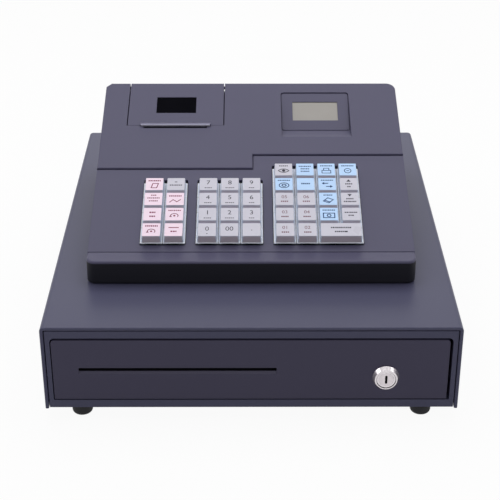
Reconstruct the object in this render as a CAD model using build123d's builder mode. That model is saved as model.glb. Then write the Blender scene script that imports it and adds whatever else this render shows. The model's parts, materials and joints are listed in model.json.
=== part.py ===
from build123d import *
import math
import os

os.makedirs("parts", exist_ok=True)

# All lengths are millimetres. +X is the clerk's right, +Y runs from the clerk to the rear, +Z is up.
# The origin is under the middle of the whole object, on the surface that the rubber feet stand on.

# ---------------------------------------------------------------- driving dimensions: cash drawer
case_width = 350.0
case_depth = 405.0
case_height = 80.0
case_sheet = 1.2  # steel sheet of the cover and the chassis
cover_bend = 4.0  # outside radius of the cover's two folds
cover_hem = 3.0  # thickness of the folded-back front edge of the cover
cover_hem_depth = 6.0
cover_front_round = 1.1
pan_lift = 0.8  # the bottom pan sits this much above the cover's lower edges
rear_recess = 2.0  # the rear wall sits this much inside the cover's rear edge

frame_groove = 0.8  # shadow line between the cover's hem and the front frame
frame_recess = 0.8  # the front frame sits behind the cover's front edge
frame_depth = 11.0
frame_side = 7.7  # from the outside of the case to the side of the drawer opening
opening_bottom = 8.3  # from the underside of the case
opening_top = 69.3
opening_corner = 4.0

foot_radius = 8.75
foot_height = 10.0  # from the underside of the case to the table
foot_inset_x = 30.0
foot_inset_front = 12.0
foot_inset_rear = 24.0
foot_taper = 4.0
foot_chamfer = 2.0

drawer_gap_side = 1.8
drawer_side_play = -0.8  # the drawer hangs a little left of the middle of its opening
drawer_gap_below = 1.6
drawer_gap_above = 1.4
drawer_panel_sheet = 1.5
drawer_return_depth = 17.0
drawer_corner = 3.0
drawer_held = 60.0  # length of the tub that stays inside the case when the drawer is open

media_slot_inset = 21.8  # from the left end of the drawer panel
media_slot_height = 3.9
media_slot_rise = 37.0  # lower edge of the slot above the underside of the case
media_lip_drop = 2.2
media_lip_depth = 1.5
media_lip_sheet = 0.8

tub_side_gap = 5.0  # between the tub and the guide rollers
tub_rise = 13.0  # underside of the tub above the underside of the case
tub_height = 46.0
tub_sheet = 1.0

rail_rise = 27.0  # axis of the rollers above the underside of the case
rail_sheet = 1.2
rail_web_gap = 5.4  # from the case's side flange to the web of the fixed rail
rail_play = 0.4
rail_gap_front = 2.0  # between the drawer panel's returns and the front ends of the rails
roller_radius = 6.5
roller_width = 4.2
roller_axle_radius = 2.5
running_play = 0.05  # radial clearance of every small axle in its bore
side_play = 0.6  # endwise clearance beside rollers and knuckles
drawer_roller_inset = 12.0
guide_roller_setback = 31.0

lock_inset = 52.1  # from the right end of the drawer panel
lock_rise = 31.7
lock_reach = 5.0  # how far the lock stands out of the drawer panel
lock_base_radius = 11.5
lock_face_radius = 9.6
lock_rim = 1.4
lock_body_radius = 9.0
lock_body_length = 12.0
lock_nut_across = 23.0
lock_nut_thickness = 3.0
lock_plug_radius = 6.2
lock_plug_shoulder = 1.0  # the plug's rear disc is this much larger in radius
lock_hole_play = 0.1
lock_cam_reach = 26.0
lock_cam_width = 9.0
lock_cam_sheet = 2.0
lock_cam_corner = 2.0
lock_cam_gap = 0.4  # between the rear of the lock's body and the cam
keyhole_length = 8.0
keyhole_width = 2.0
keyhole_depth = 6.0

tray_gap_front = 31.0  # pocket between the tub's front wall and the tray, below the media slot
tray_play = 0.5
tray_corner = 3.0
tray_height = 44.0
tray_wall = 2.0
tray_floor = 2.0
tray_columns = 4
coin_rows = 2
coin_depth = 62.0
coin_round = 16.0
clip_axle_radius = 2.4
clip_axle_drop = 6.0
clip_axle_setback = 9.0
clip_length = 86.0
clip_width = 16.0
clip_sheet = 1.6
clip_hub = 4.2
clip_tip = 3.0
clip_droop = 17.0

latch_setback = 7.5  # latch pivot in front of the case's rear wall
latch_rise = 52.0
latch_length = 15.0
latch_width = 8.0
latch_nose = 6.0
latch_nose_width = 3.0
latch_hub = 4.0
latch_arm_below = 2.0
latch_arm_fall = 1.0
latch_ear = 2.0
latch_pin_radius = 2.0
latch_raise = 14.0
latch_gap_front = 4.0  # between the tub's rear wall and the latch's nose
latch_gap_strike = 0.8
latch_gap_floor = 2.0  # below the nose when it is down in the strike's channel
strike_width = 14.0
strike_lip = 4.4

# ---------------------------------------------------------------- driving dimensions: register
register_width = 286.0
register_depth = 240.0
register_setback = 72.6  # from the drawer's front face to the register's front face
skirt_height = 20.0
shell_wall = 2.4
skirt_round = 2.0
lip_height = 2.2
lip_depth = 17.5
lip_round = 2.0
corner_front = 8.0
corner_rear_right = 9.0
corner_rear_left = 5.0  # chamfer
deck_slope = 17.35
step_height = 1.5  # the rear deck stands this much above the key deck
step_left = 107.7  # up the slope from the groove to the step, left of the jog
step_right = 127.0
step_jog_x = 1.6
step_groove = 0.8
step_groove_depth = 1.2
edge_round = 1.0
groove_width = 0.9
groove_depth = 0.9
screw_post_radius = 3.2
screw_hole_radius = 1.3
screw_inset = 15.0

key_pitch = 19.6
key_gap = 1.0  # between the flanges of neighbouring keys
key_flange = 1.4
key_ledge = 0.7  # how far the flange stands out round the foot of the cap
key_inset_side = 1.35  # from the edge of the flange to the edge of the cap's top, seen from above
key_inset_front = 1.05
key_inset_rear = 1.45
key_height = 8.9
key_lift = 0.5  # underside of a flange above the key deck, at rest
key_travel = 3.5
key_relief = 0.5
key_relief_margin = 3.0
key_relief_angle = 30.0
key_wall = 1.2
key_plunger = 6.0
key_front_s = 9.4  # up the slope from the groove to the front edge of the first row
key_margin_side = 1.2
key_margin_front = 1.0
key_margin_rear = 6.0
key_board_drop = 12.0
key_board_post_radius = 2.8
key_opening_corner = 1.5
board_thickness = 1.6
switch_size = 8.0
switch_height = 3.6
key_column_left = -87.75
key_column_middle = -38.8
key_column_right = 29.95
left_column_count = 2
middle_column_count = 3
right_column_count = 4
main_row_count = 4
right_row_count = 5

cover_left = -118.4
cover_width = 92.0
cover_front_s = 169.0
cover_thickness = 2.6
cover_gap = 0.9
cover_gap_front = 0.3
cover_gap_barrel = 0.5
cover_hinge_inset = 3.0  # hinge axis from the rear face and from the top of the cover
cover_pin_radius = 1.5
cover_pin_length = 2.6
cover_opens = 95.0
tear_bar_length = 67.6
tear_bar_height = 2.2
tear_bar_depth = 4.5
tear_bar_overhang = 1.8
paper_slot_length = 61.0
paper_slot_depth = 4.6
window_width = 38.5
window_length = 24.0
window_front_s = 187.2
window_rebate = 1.0
window_thickness = 1.2
window_sink = 0.3

platen_radius = 4.4
platen_length = 60.0
platen_shaft_radius = 1.5
platen_setback = 8.0  # up the slope from the cover's front edge to the platen
platen_drop = 11.0
platen_lug = 2.4

bucket_radius = 23.0
bucket_width = 60.0
bucket_wall = 1.8
bucket_clear_rear = 1.4
bucket_rim_rise = 56.0  # rim of the paper bucket above the drawer top
bucket_axis_rise = 51.0
head_gap = 0.35
head_thickness = 4.0
head_depth = 9.0
head_behind = 2.0  # the head's rear edge behind the platen's axis
plate_behind = 4.0
motor_radius = 8.0
motor_length = 18.0

display_left = 29.5
display_width = 66.5
display_top_s = 218.6
display_sink_s = 169.1
display_front_s = 151.9
display_sink = 7.0
display_top_sink = 0.8
display_wall = 2.2
display_corner = 3.0
display_groove = 0.7
display_groove_depth = 1.2
lcd_width = 44.0
lcd_length = 24.6
lcd_margin_top = 12.0
lcd_sink = 0.7
lcd_flange = 6.0
lcd_thickness = 3.0

main_board_width = 190.0
main_board_length = 78.0
main_board_front = 64.0  # from the register's front face
main_board_rise = 8.0
chip_size = 18.0
chip_height = 3.0
standoff_across = 5.0
port_x = 20.0
port_pitch = 24.0
port_width = 12.0
port_height = 11.0
port_length = 14.0
port_rise = 4.2
port_play = 0.4
port_wall = 1.5
port_floor = 5.0  # solid rear end of a socket's body
jack_radius = 2.9
rocker_x = 98.0
rocker_rise = 34.0
rocker_width = 12.6
rocker_length = 18.6
rocker_border = 2.2
rocker_tilt = 9.0
rocker_body_depth = 12.0
rocker_pin_radius = 1.2
rocker_pin_bite = 0.8
rocker_end_play = 0.9
rocker_stand = 0.6
rocker_keel = 3.5
rocker_flange = 1.5

# ---------------------------------------------------------------- derived places
front_y = -(case_depth - lock_reach) / 2
rear_y = front_y + case_depth
wall_y = rear_y - rear_recess
case_z = foot_height
top_z = case_z + case_height
pan_z = case_z + pan_lift
side_in = case_width / 2 - case_sheet
floor_z = pan_z + case_sheet

drawer_z0 = case_z + opening_bottom + drawer_gap_below
drawer_z1 = case_z + opening_top - drawer_gap_above
drawer_rise = drawer_z1 - drawer_z0
opening_width = case_width - 2 * frame_side
drawer_width = opening_width - 2 * drawer_gap_side
slot_z = case_z + media_slot_rise
tub_y = front_y + drawer_return_depth
tub_z = case_z + tub_rise
rail_z = case_z + rail_rise
rail_web_x = side_in - case_sheet - rail_web_gap
rail_flange = roller_width + 2 * side_play
media_slot_left = drawer_side_play - drawer_width / 2 + media_slot_inset
media_slot_length = drawer_width / 2
lock_x = drawer_side_play + drawer_width / 2 - lock_inset
lock_z = case_z + lock_rise

slope = math.radians(deck_slope)
register_y = front_y + register_setback
register_rear = register_y + register_depth
groove_y = register_y + lip_depth
groove_z = top_z + skirt_height + lip_height
deck = Plane(origin=(0, groove_y, groove_z), x_dir=(1, 0, 0), z_dir=(0, -math.sin(slope), math.cos(slope)))
rear_deck = deck.offset(step_height)


def station(y, z=0.0):
    """Upright plane across the object at y: its sketch axes are +X and +Z, seen by the clerk."""
    return Plane(origin=(0, y, z), x_dir=(1, 0, 0), z_dir=(0, -1, 0))


def slice_at(x):
    """Upright plane along the object at x: its sketch axes are +Y and +Z."""
    return Plane(origin=(x, 0, 0), x_dir=(0, 1, 0), z_dir=(1, 0, 0))


def deck_point(s, n):
    """The (y, z) of a point s up the slope from the groove and n above the key deck."""
    y = groove_y + s * math.cos(slope) - n * math.sin(slope)
    z = groove_z + s * math.sin(slope) + n * math.cos(slope)
    return y, z


def deck_prism(x, width, points):
    """Solid of an upright profile, given as (s, n) points, extruded across the object from x."""
    with BuildPart() as prism:
        with BuildSketch(slice_at(x)):
            with BuildLine():
                Polyline(*[deck_point(s, n) for s, n in points], close=True)
            make_face()
        extrude(amount=width)
    return prism.part


def axle(radius, x, y, z, length):
    """Round bar along X, starting at x, as a separate solid for adding or cutting."""
    bar = Cylinder(radius, length, align=(Align.CENTER, Align.CENTER, Align.MIN), mode=Mode.PRIVATE)
    return Plane(origin=(x, y, z), x_dir=(0, 1, 0), z_dir=(1, 0, 0)) * bar


# ---------------------------------------------------------------- case cover: folded top and sides
def cover_section(wall):
    """Downward-facing U of the cover, from the underside of the case up."""
    with BuildSketch() as section:
        RectangleRounded(case_width, 2 * case_height, cover_bend)
        inner_width = case_width - 2 * wall
        inner_height = 2 * (case_height - wall)
        RectangleRounded(inner_width, inner_height, cover_bend - wall, mode=Mode.SUBTRACT)
        with Locations((0, -case_height / 2)):
            Rectangle(case_width, case_height, mode=Mode.SUBTRACT)
    return section.sketch


cover_sheet_section = cover_section(case_sheet)
cover_hem_section = cover_section(cover_hem)

with BuildPart() as case_cover:
    with BuildSketch(station(front_y, case_z)):
        add(cover_sheet_section)
    extrude(amount=-case_depth)
    with BuildSketch(station(front_y, case_z)):
        add(cover_hem_section)
    extrude(amount=-cover_hem_depth)
    hem_edges = case_cover.faces().sort_by(Axis.Y)[0].edges()
    fillet(hem_edges.filter_by(lambda edge: edge.center().Z > case_z + case_sheet), cover_front_round)

case_cover.part.label = "case_cover"
export_step(case_cover.part, "parts/case_cover.step")

# ---------------------------------------------------------------- chassis: pan, walls, front frame, rails
frame_split_y = front_y + cover_hem_depth + frame_groove
flange_height = 14.0
rail_front_y = front_y + drawer_return_depth + rail_gap_front
rail_half = roller_radius + rail_play
rail_lip_x = rail_web_x - rail_flange
guide_y = front_y + guide_roller_setback
guide_x = rail_lip_x - side_play - roller_width
tub_width = 2 * (guide_x - tub_side_gap)
wall_inside_y = wall_y - case_sheet
latch_y = wall_inside_y - latch_setback
latch_z = case_z + latch_rise
latch_ear_rise = 9.0
socket_rise = 22.0


def fill_section(gap, bottom):
    """Full section inside the cover, drawn in from its outside by gap and cut off at bottom."""
    with BuildSketch() as section:
        RectangleRounded(case_width - 2 * gap, 2 * (case_height - gap), max(cover_bend - gap, 0.6))
        with Locations((0, bottom - case_height)):
            Rectangle(case_width, 2 * case_height, mode=Mode.SUBTRACT)
    return section.sketch


def frame_opening():
    """Drawer opening in the front frame: rounded above, square below."""
    with BuildSketch() as shape:
        with Locations((0, (opening_bottom + opening_top) / 2)):
            Rectangle(opening_width, opening_top - opening_bottom)
        fillet(shape.vertices().group_by(Axis.Y)[-1], opening_corner)
    return shape.sketch


drawer_opening = frame_opening()
frame_front_section = fill_section(cover_hem + frame_groove, pan_lift)
frame_back_section = fill_section(case_sheet, pan_lift)

with BuildPart() as case_chassis:
    # Bottom pan with its upturned side flanges, behind the cover's hem.
    with BuildSketch(station(frame_split_y, pan_z)):
        with Locations((0, flange_height / 2)):
            Rectangle(2 * side_in, flange_height)
        with Locations((0, flange_height / 2 + case_sheet)):
            Rectangle(2 * (side_in - case_sheet), flange_height, mode=Mode.SUBTRACT)
    extrude(amount=-(wall_y - frame_split_y))
    # Rear wall, with a hole for the drawer's socket.
    with BuildSketch(station(wall_inside_y, case_z)):
        add(frame_back_section)
        with Locations((port_x, socket_rise)):
            Rectangle(port_width, port_height, mode=Mode.SUBTRACT)
    extrude(amount=-case_sheet)
    # Front frame: a front layer inside the hem and a wider layer behind it.
    with BuildSketch(station(front_y + frame_recess, case_z)):
        add(frame_front_section)
        add(drawer_opening, mode=Mode.SUBTRACT)
    extrude(amount=-(frame_depth - frame_recess))
    with BuildSketch(station(frame_split_y, case_z)):
        add(frame_back_section)
        add(drawer_opening, mode=Mode.SUBTRACT)
    extrude(amount=-(front_y + frame_depth - frame_split_y))
    # Fixed rails: a web up from the pan with a channel that opens towards the drawer.
    with BuildSketch(station(rail_front_y)):
        with BuildLine():
            Polyline(
                (rail_web_x + rail_sheet, floor_z),
                (rail_web_x + rail_sheet, rail_z + rail_half + rail_sheet),
                (rail_lip_x, rail_z + rail_half + rail_sheet),
                (rail_lip_x, rail_z + rail_half),
                (rail_web_x, rail_z + rail_half),
                (rail_web_x, rail_z - rail_half),
                (rail_lip_x, rail_z - rail_half),
                (rail_lip_x, rail_z - rail_half - rail_sheet),
                (rail_web_x, rail_z - rail_half - rail_sheet),
                (rail_web_x, floor_z),
                close=True,
            )
        make_face()
    right_rail = extrude(amount=-(wall_inside_y - rail_front_y))
    mirror(right_rail, about=Plane.YZ)
    # Stub axles of the guide rollers, from the webs inwards.
    add(axle(roller_axle_radius, guide_x - side_play, guide_y, rail_z, rail_web_x - guide_x + side_play))
    add(axle(roller_axle_radius, -rail_web_x, guide_y, rail_z, rail_web_x - guide_x + side_play))
    # Ears on the rear wall that hold the latch pin.
    with BuildSketch(slice_at(latch_width / 2 + side_play)):
        with BuildLine():
            Polyline(
                (wall_inside_y, latch_z - latch_ear_rise),
                (wall_inside_y, latch_z + latch_ear_rise),
                (latch_y - latch_hub, latch_z + latch_hub),
                (latch_y - latch_hub, latch_z - latch_hub),
                close=True,
            )
        make_face()
        with Locations((latch_y, latch_z)):
            Circle(latch_pin_radius + running_play, mode=Mode.SUBTRACT)
    latch_ear_solid = extrude(amount=latch_ear)
    mirror(latch_ear_solid, about=Plane.YZ)

case_chassis.part.label = "case_chassis"
export_step(case_chassis.part, "parts/case_chassis.step")

# ---------------------------------------------------------------- rubber feet
foot_x = case_width / 2 - foot_inset_x
foot_places = [
    (side * foot_x, y)
    for side in (-1, 1)
    for y in (front_y + foot_inset_front, rear_y - foot_inset_rear)
]

with BuildPart() as rubber_feet:
    with BuildSketch(Plane.XY.offset(pan_z)):
        with Locations(*foot_places):
            Circle(foot_radius)
    extrude(amount=-pan_z, taper=foot_taper)
    chamfer(rubber_feet.faces().group_by(Axis.Z)[0].edges(), foot_chamfer)

rubber_feet.part.label = "rubber_feet"
export_step(rubber_feet.part, "parts/rubber_feet.step")

# ---------------------------------------------------------------- guide rollers: pair on the chassis
with BuildPart() as guide_rollers:
    for x in (guide_x, -guide_x - roller_width):
        with BuildSketch(slice_at(x)):
            with Locations((guide_y, rail_z)):
                Circle(roller_radius)
                Circle(roller_axle_radius + running_play, mode=Mode.SUBTRACT)
        extrude(amount=roller_width)

guide_rollers.part.label = "guide_rollers"
export_step(guide_rollers.part, "parts/guide_rollers.step")

# ---------------------------------------------------------------- drawer front: folded panel
def panel_outline(inset):
    """Outline of the drawer panel, square below and slightly rounded above."""
    with BuildSketch() as shape:
        with Locations((drawer_side_play, (drawer_z0 + drawer_z1) / 2)):
            Rectangle(drawer_width - 2 * inset, drawer_rise - 2 * inset)
        fillet(shape.vertices().group_by(Axis.Y)[-1], max(drawer_corner - inset, 0.5))
    return shape.sketch


panel_outer = panel_outline(0)
panel_inner = panel_outline(drawer_panel_sheet)
slot_mid_x = media_slot_left + media_slot_length / 2
cam_y = front_y + lock_body_length + lock_cam_gap
cam_clear = 1.6
cam_drop = lock_z - drawer_z0 - drawer_panel_sheet
cam_swing = math.sqrt(lock_cam_reach**2 + (lock_cam_width / 2) ** 2 - cam_drop**2)
cam_notch_left = lock_x - lock_cam_width / 2 - cam_clear
cam_notch_right = lock_x + cam_swing + cam_clear

with BuildPart() as drawer_front:
    with BuildSketch(station(front_y)):
        add(panel_outer)
    extrude(amount=-drawer_return_depth)
    with BuildSketch(station(front_y + drawer_panel_sheet)):
        add(panel_inner)
    extrude(amount=-drawer_return_depth, mode=Mode.SUBTRACT)
    # Thickening behind the media slot, from which its slanted lip is formed.
    with BuildSketch(slice_at(media_slot_left)):
        with BuildLine():
            Polyline(
                (front_y + drawer_panel_sheet, slot_z - 2 * media_lip_drop),
                (front_y + media_lip_depth + media_lip_sheet, slot_z - media_lip_sheet),
                (front_y + media_lip_depth + media_lip_sheet, slot_z),
                (front_y + drawer_panel_sheet, slot_z),
                close=True,
            )
        make_face()
    extrude(amount=media_slot_length)
    with BuildSketch(slice_at(media_slot_left)):
        with BuildLine():
            Polyline(
                (front_y, slot_z - media_lip_drop),
                (front_y + media_lip_depth, slot_z),
                (front_y + drawer_return_depth / 2, slot_z),
                (front_y + drawer_return_depth / 2, slot_z + media_slot_height),
                (front_y, slot_z + media_slot_height),
                close=True,
            )
        make_face()
    extrude(amount=media_slot_length, mode=Mode.SUBTRACT)
    # Hole for the lock body.
    with BuildSketch(station(front_y)):
        with Locations((lock_x, lock_z)):
            Circle(lock_body_radius + lock_hole_play)
    extrude(amount=-drawer_return_depth, mode=Mode.SUBTRACT)
    # Notch in the lower return, through which the lock's cam swings down behind the bottom rail.
    with BuildSketch(Plane.XY.offset(drawer_z0)):
        with Locations(((cam_notch_left + cam_notch_right) / 2, cam_y + lock_cam_sheet)):
            Rectangle(cam_notch_right - cam_notch_left, 3 * lock_cam_sheet)
    extrude(amount=drawer_panel_sheet, mode=Mode.SUBTRACT)

drawer_front.part.label = "drawer_front"
export_step(drawer_front.part, "parts/drawer_front.step")

# ---------------------------------------------------------------- drawer tub
tub_rear_y = latch_y - latch_length - latch_gap_front
tub_length = tub_rear_y - tub_y
drawer_travel = tub_length - drawer_held
roller_y = tub_rear_y - drawer_roller_inset
roller_x = rail_web_x - side_play - roller_width
roller_axle_length = rail_web_x - side_play / 2 - tub_width / 2
strike_z = latch_z - latch_nose - latch_gap_floor - tub_sheet
strike_y = latch_y - latch_length + latch_nose_width + latch_gap_strike
strike_top = strike_z + tub_sheet + strike_lip
flange_play = 0.3
flange_reach = guide_x + roller_width

with BuildPart() as drawer_tub:
    # Front plate that closes the back of the folded panel.
    with BuildSketch(station(tub_y - tub_sheet)):
        add(panel_inner)
        with Locations((slot_mid_x, slot_z + media_slot_height / 2)):
            Rectangle(media_slot_length, 2 * media_slot_height, mode=Mode.SUBTRACT)
    extrude(amount=-tub_sheet)
    # Open box.
    with BuildSketch(Plane.XY.offset(tub_z)):
        with Locations((0, tub_y + tub_length / 2)):
            Rectangle(tub_width, tub_length)
    extrude(amount=tub_height)
    with BuildSketch(Plane.XY.offset(tub_z + tub_sheet)):
        with Locations((0, tub_y + (tub_length - tub_sheet) / 2)):
            Rectangle(tub_width - 2 * tub_sheet, tub_length - tub_sheet)
    extrude(amount=tub_height, mode=Mode.SUBTRACT)
    # Side flanges that ride on the guide rollers.
    with BuildSketch(Plane.XY.offset(rail_z + roller_radius + flange_play)):
        for side in (-1, 1):
            with Locations((side * (tub_width / 2 + flange_reach) / 2, tub_y + tub_length / 2)):
                Rectangle(flange_reach - tub_width / 2, tub_length)
    extrude(amount=tub_sheet)
    # Stub axles of the rear rollers.
    for x in (tub_width / 2, -tub_width / 2 - roller_axle_length):
        add(axle(roller_axle_radius, x, roller_y, rail_z, roller_axle_length))
    # Strike on the rear wall, with a lip for the latch to drop behind.
    with BuildSketch(slice_at(-strike_width / 2)):
        with BuildLine():
            Polyline(
                (tub_rear_y, strike_z),
                (strike_y + tub_sheet, strike_z),
                (strike_y + tub_sheet, strike_top),
                (strike_y, strike_top),
                (strike_y, strike_z + tub_sheet),
                (tub_rear_y, strike_z + tub_sheet),
                close=True,
            )
        make_face()
    extrude(amount=strike_width)

drawer_tub.part.label = "drawer_tub"
export_step(drawer_tub.part, "parts/drawer_tub.step")

# ---------------------------------------------------------------- drawer rollers: pair on the tub
with BuildPart() as drawer_rollers:
    for x in (roller_x, -roller_x - roller_width):
        with BuildSketch(slice_at(x)):
            with Locations((roller_y, rail_z)):
                Circle(roller_radius)
                Circle(roller_axle_radius + running_play, mode=Mode.SUBTRACT)
        extrude(amount=roller_width)

drawer_rollers.part.label = "drawer_rollers"
export_step(drawer_rollers.part, "parts/drawer_rollers.step")

# ---------------------------------------------------------------- lock: turned barrel with its nut
lock_axis = Axis((lock_x, front_y, lock_z), (0, 1, 0))
lock_plane = Plane(origin=(lock_x, front_y, lock_z), x_dir=(1, 0, 0), z_dir=(0, 0, 1))
lock_flange = 1.3
lock_rim_depth = 0.8
lock_edge = 0.5
nut_y = front_y + drawer_panel_sheet

with BuildPart() as lock_barrel:
    with BuildSketch(lock_plane):
        with BuildLine():
            Polyline(
                (lock_plug_radius + running_play, lock_body_length),
                (lock_body_radius, lock_body_length),
                (lock_body_radius, 0),
                (lock_base_radius, 0),
                (lock_base_radius, -lock_flange),
                (lock_face_radius, -lock_reach + lock_edge),
                (lock_face_radius - lock_edge, -lock_reach),
                (lock_face_radius - lock_rim, -lock_reach),
                (lock_face_radius - lock_rim, -lock_reach + lock_rim_depth),
                (lock_plug_radius + running_play, -lock_reach + lock_rim_depth),
                close=True,
            )
        make_face()
    revolve(axis=lock_axis)
    with BuildSketch(station(nut_y)):
        with Locations((lock_x, lock_z)):
            RegularPolygon(lock_nut_across / 2, 6, major_radius=False)
            Circle(lock_body_radius - lock_edge, mode=Mode.SUBTRACT)
    extrude(amount=-lock_nut_thickness)

lock_barrel.part.label = "lock_barrel"
export_step(lock_barrel.part, "parts/lock_barrel.step")

# ---------------------------------------------------------------- lock plug: keyway and cam
cam_screw_radius = 4.0
cam_screw_head = 1.2

with BuildPart() as lock_plug:
    with BuildSketch(station(front_y - lock_reach + lock_rim_depth)):
        with Locations((lock_x, lock_z)):
            Circle(lock_plug_radius)
    extrude(amount=-(cam_y - front_y + lock_reach - lock_rim_depth))
    with BuildSketch(station(front_y - lock_reach)):
        with Locations((lock_x, lock_z)):
            SlotOverall(keyhole_length, keyhole_width, rotation=90)
    extrude(amount=-keyhole_depth, mode=Mode.SUBTRACT)
    with BuildSketch(station(cam_y)):
        with Locations((lock_x, lock_z)):
            Circle(lock_plug_radius + lock_plug_shoulder)
        with Locations((lock_x + lock_cam_reach / 2, lock_z)):
            RectangleRounded(lock_cam_reach, lock_cam_width, lock_cam_corner)
    extrude(amount=-lock_cam_sheet)
    with BuildSketch(station(cam_y + lock_cam_sheet)):
        with Locations((lock_x, lock_z)):
            Circle(cam_screw_radius)
    extrude(amount=-cam_screw_head)

lock_plug.part.label = "lock_plug"
export_step(lock_plug.part, "parts/lock_plug.step")

# ---------------------------------------------------------------- cash tray: coin cups, note compartments
tray_z = tub_z + tub_sheet
tray_half = tub_width / 2 - tub_sheet - tray_play
tray_y0 = tub_y + tray_gap_front
tray_y1 = tub_rear_y - tub_sheet - tray_play
tray_top = tray_z + tray_height
column_pitch = (2 * tray_half - tray_wall) / tray_columns
column_width = column_pitch - tray_wall
column_x = [-tray_half + tray_wall + column_width / 2 + i * column_pitch for i in range(tray_columns)]
cup_y = [tray_y0 + tray_wall + i * (coin_depth + tray_wall) for i in range(coin_rows)]
note_y = tray_y0 + tray_wall + coin_rows * (coin_depth + tray_wall)
note_length = tray_y1 - tray_wall - note_y
clip_y = tray_y1 - clip_axle_setback
clip_z = tray_top - clip_axle_drop

with BuildPart() as cash_tray:
    with BuildSketch(Plane.XY.offset(tray_z)):
        with Locations((0, (tray_y0 + tray_y1) / 2)):
            RectangleRounded(2 * tray_half, tray_y1 - tray_y0, tray_corner)
    extrude(amount=tray_height)
    # Coin cups, scooped front and rear so that coins slide up to the fingers.
    for x in column_x:
        for y in cup_y:
            with BuildSketch(slice_at(x - column_width / 2)) as cup:
                with Locations((y + coin_depth / 2, tray_z + tray_floor + tray_height / 2)):
                    Rectangle(coin_depth, tray_height)
                fillet(cup.vertices().group_by(Axis.Z)[0], coin_round)
            extrude(amount=column_width, mode=Mode.SUBTRACT)
    # Note compartments.
    with BuildSketch(Plane.XY.offset(tray_z + tray_floor)):
        with Locations(*[(x, note_y + note_length / 2) for x in column_x]):
            Rectangle(column_width, note_length)
    extrude(amount=tray_height, mode=Mode.SUBTRACT)
    # Bore for the clips' axle, through every upright wall.
    clip_bore = axle(clip_axle_radius + running_play, -tray_half, clip_y, clip_z, 2 * tray_half)
    add(clip_bore, mode=Mode.SUBTRACT)

cash_tray.part.label = "cash_tray"
export_step(cash_tray.part, "parts/cash_tray.step")

# ---------------------------------------------------------------- note clips on their axle
droop = math.radians(clip_droop)

with BuildPart() as bill_clips:
    add(axle(clip_axle_radius, -tray_half, clip_y, clip_z, 2 * tray_half))
    for x in column_x:
        arm_plane = Plane(
            origin=(x - clip_width / 2, clip_y, clip_z),
            x_dir=(0, -math.cos(droop), -math.sin(droop)),
            z_dir=(1, 0, 0),
        )
        with BuildSketch(arm_plane):
            Circle(clip_hub)
            with Locations((clip_length / 2, 0)):
                Rectangle(clip_length, clip_sheet)
            with Locations((clip_length - clip_tip / 2, -clip_sheet / 2)):
                Rectangle(clip_tip, 2 * clip_sheet)
        extrude(amount=clip_width)

bill_clips.part.label = "bill_clips"
export_step(bill_clips.part, "parts/bill_clips.step")

# ---------------------------------------------------------------- drawer latch: sprung hook
raised = math.radians(latch_raise)
latch_plane = Plane(
    origin=(-latch_width / 2, latch_y, latch_z),
    x_dir=(0, math.cos(raised), -math.sin(raised)),
    z_dir=(1, 0, 0),
)

with BuildPart() as drawer_latch:
    with BuildSketch(latch_plane):
        Circle(latch_hub)
        with BuildLine():
            Polyline(
                (0, latch_hub),
                (-latch_length, latch_hub - latch_arm_fall),
                (-latch_length, -latch_nose),
                (-latch_length + latch_nose_width, -latch_nose),
                (-latch_length + latch_nose_width, -latch_arm_below),
                (0, -latch_arm_below - latch_arm_fall),
                close=True,
            )
        make_face()
    extrude(amount=latch_width)
    pin_half = latch_width / 2 + side_play + latch_ear
    add(axle(latch_pin_radius, -pin_half, latch_y, latch_z, 2 * pin_half))

drawer_latch.part.label = "drawer_latch"
export_step(drawer_latch.part, "parts/drawer_latch.step")

# ---------------------------------------------------------------- register: shared outlines
def plan_outline(inset):
    """Footprint of the register, drawn in by inset: three round corners and one chamfered one."""
    half = register_width / 2 - inset
    with BuildSketch() as outline:
        with BuildLine():
            Polyline(
                (-half, register_y + inset),
                (half, register_y + inset),
                (half, register_rear - inset),
                (-half, register_rear - inset),
                close=True,
            )
        make_face()
        fillet(outline.vertices().group_by(Axis.Y)[0], corner_front - inset)
        rear_right = outline.vertices().group_by(Axis.Y)[-1].sort_by(Axis.X)[-1]
        fillet(rear_right, corner_rear_right - inset)
        rear_left = outline.vertices().group_by(Axis.Y)[-1].sort_by(Axis.X)[0]
        chamfer(rear_left, corner_rear_left - inset * (2 - math.sqrt(2)))
    return outline.sketch


outer_outline = plan_outline(0)
inner_outline = plan_outline(shell_wall)
deck_run = 1.2 * register_depth
shell_z = top_z + skirt_height


def shell_form(inset, outline, z0):
    """Solid within the upper case's walls: lip, sloping key deck and raised, jogged rear deck."""
    far_y, far_z = deck_point(deck_run, -inset)
    lip_y = groove_y + inset * math.tan(slope / 2)
    with BuildPart() as form:
        with BuildSketch(slice_at(-register_width / 2)):
            with BuildLine():
                Polyline(
                    (register_y, z0),
                    (register_y, groove_z - inset),
                    (lip_y, groove_z - inset),
                    (far_y, far_z),
                    (far_y, z0),
                    close=True,
                )
            make_face()
        extrude(amount=register_width)
        with BuildSketch(deck.offset(-inset - 1)):
            with BuildLine():
                Polyline(
                    (-register_width / 2, step_left + inset),
                    (step_jog_x - inset, step_left + inset),
                    (step_jog_x - inset, step_right + inset),
                    (register_width / 2, step_right + inset),
                    (register_width / 2, deck_run),
                    (-register_width / 2, deck_run),
                    close=True,
                )
            make_face()
        extrude(amount=step_height + 1)
        with BuildSketch(Plane.XY.offset(z0)):
            add(outline)
        extrude(amount=4 * skirt_height + register_depth, mode=Mode.INTERSECT)
    return form.part


# ---------------------------------------------------------------- base tray: black lower case
screw_places = [
    (side * (register_width / 2 - screw_inset), y)
    for side in (-1, 1)
    for y in (register_y + screw_inset, register_rear - screw_inset)
]
port_places = [port_x, port_x + port_pitch]
tray_floor_z = top_z + shell_wall

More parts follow.
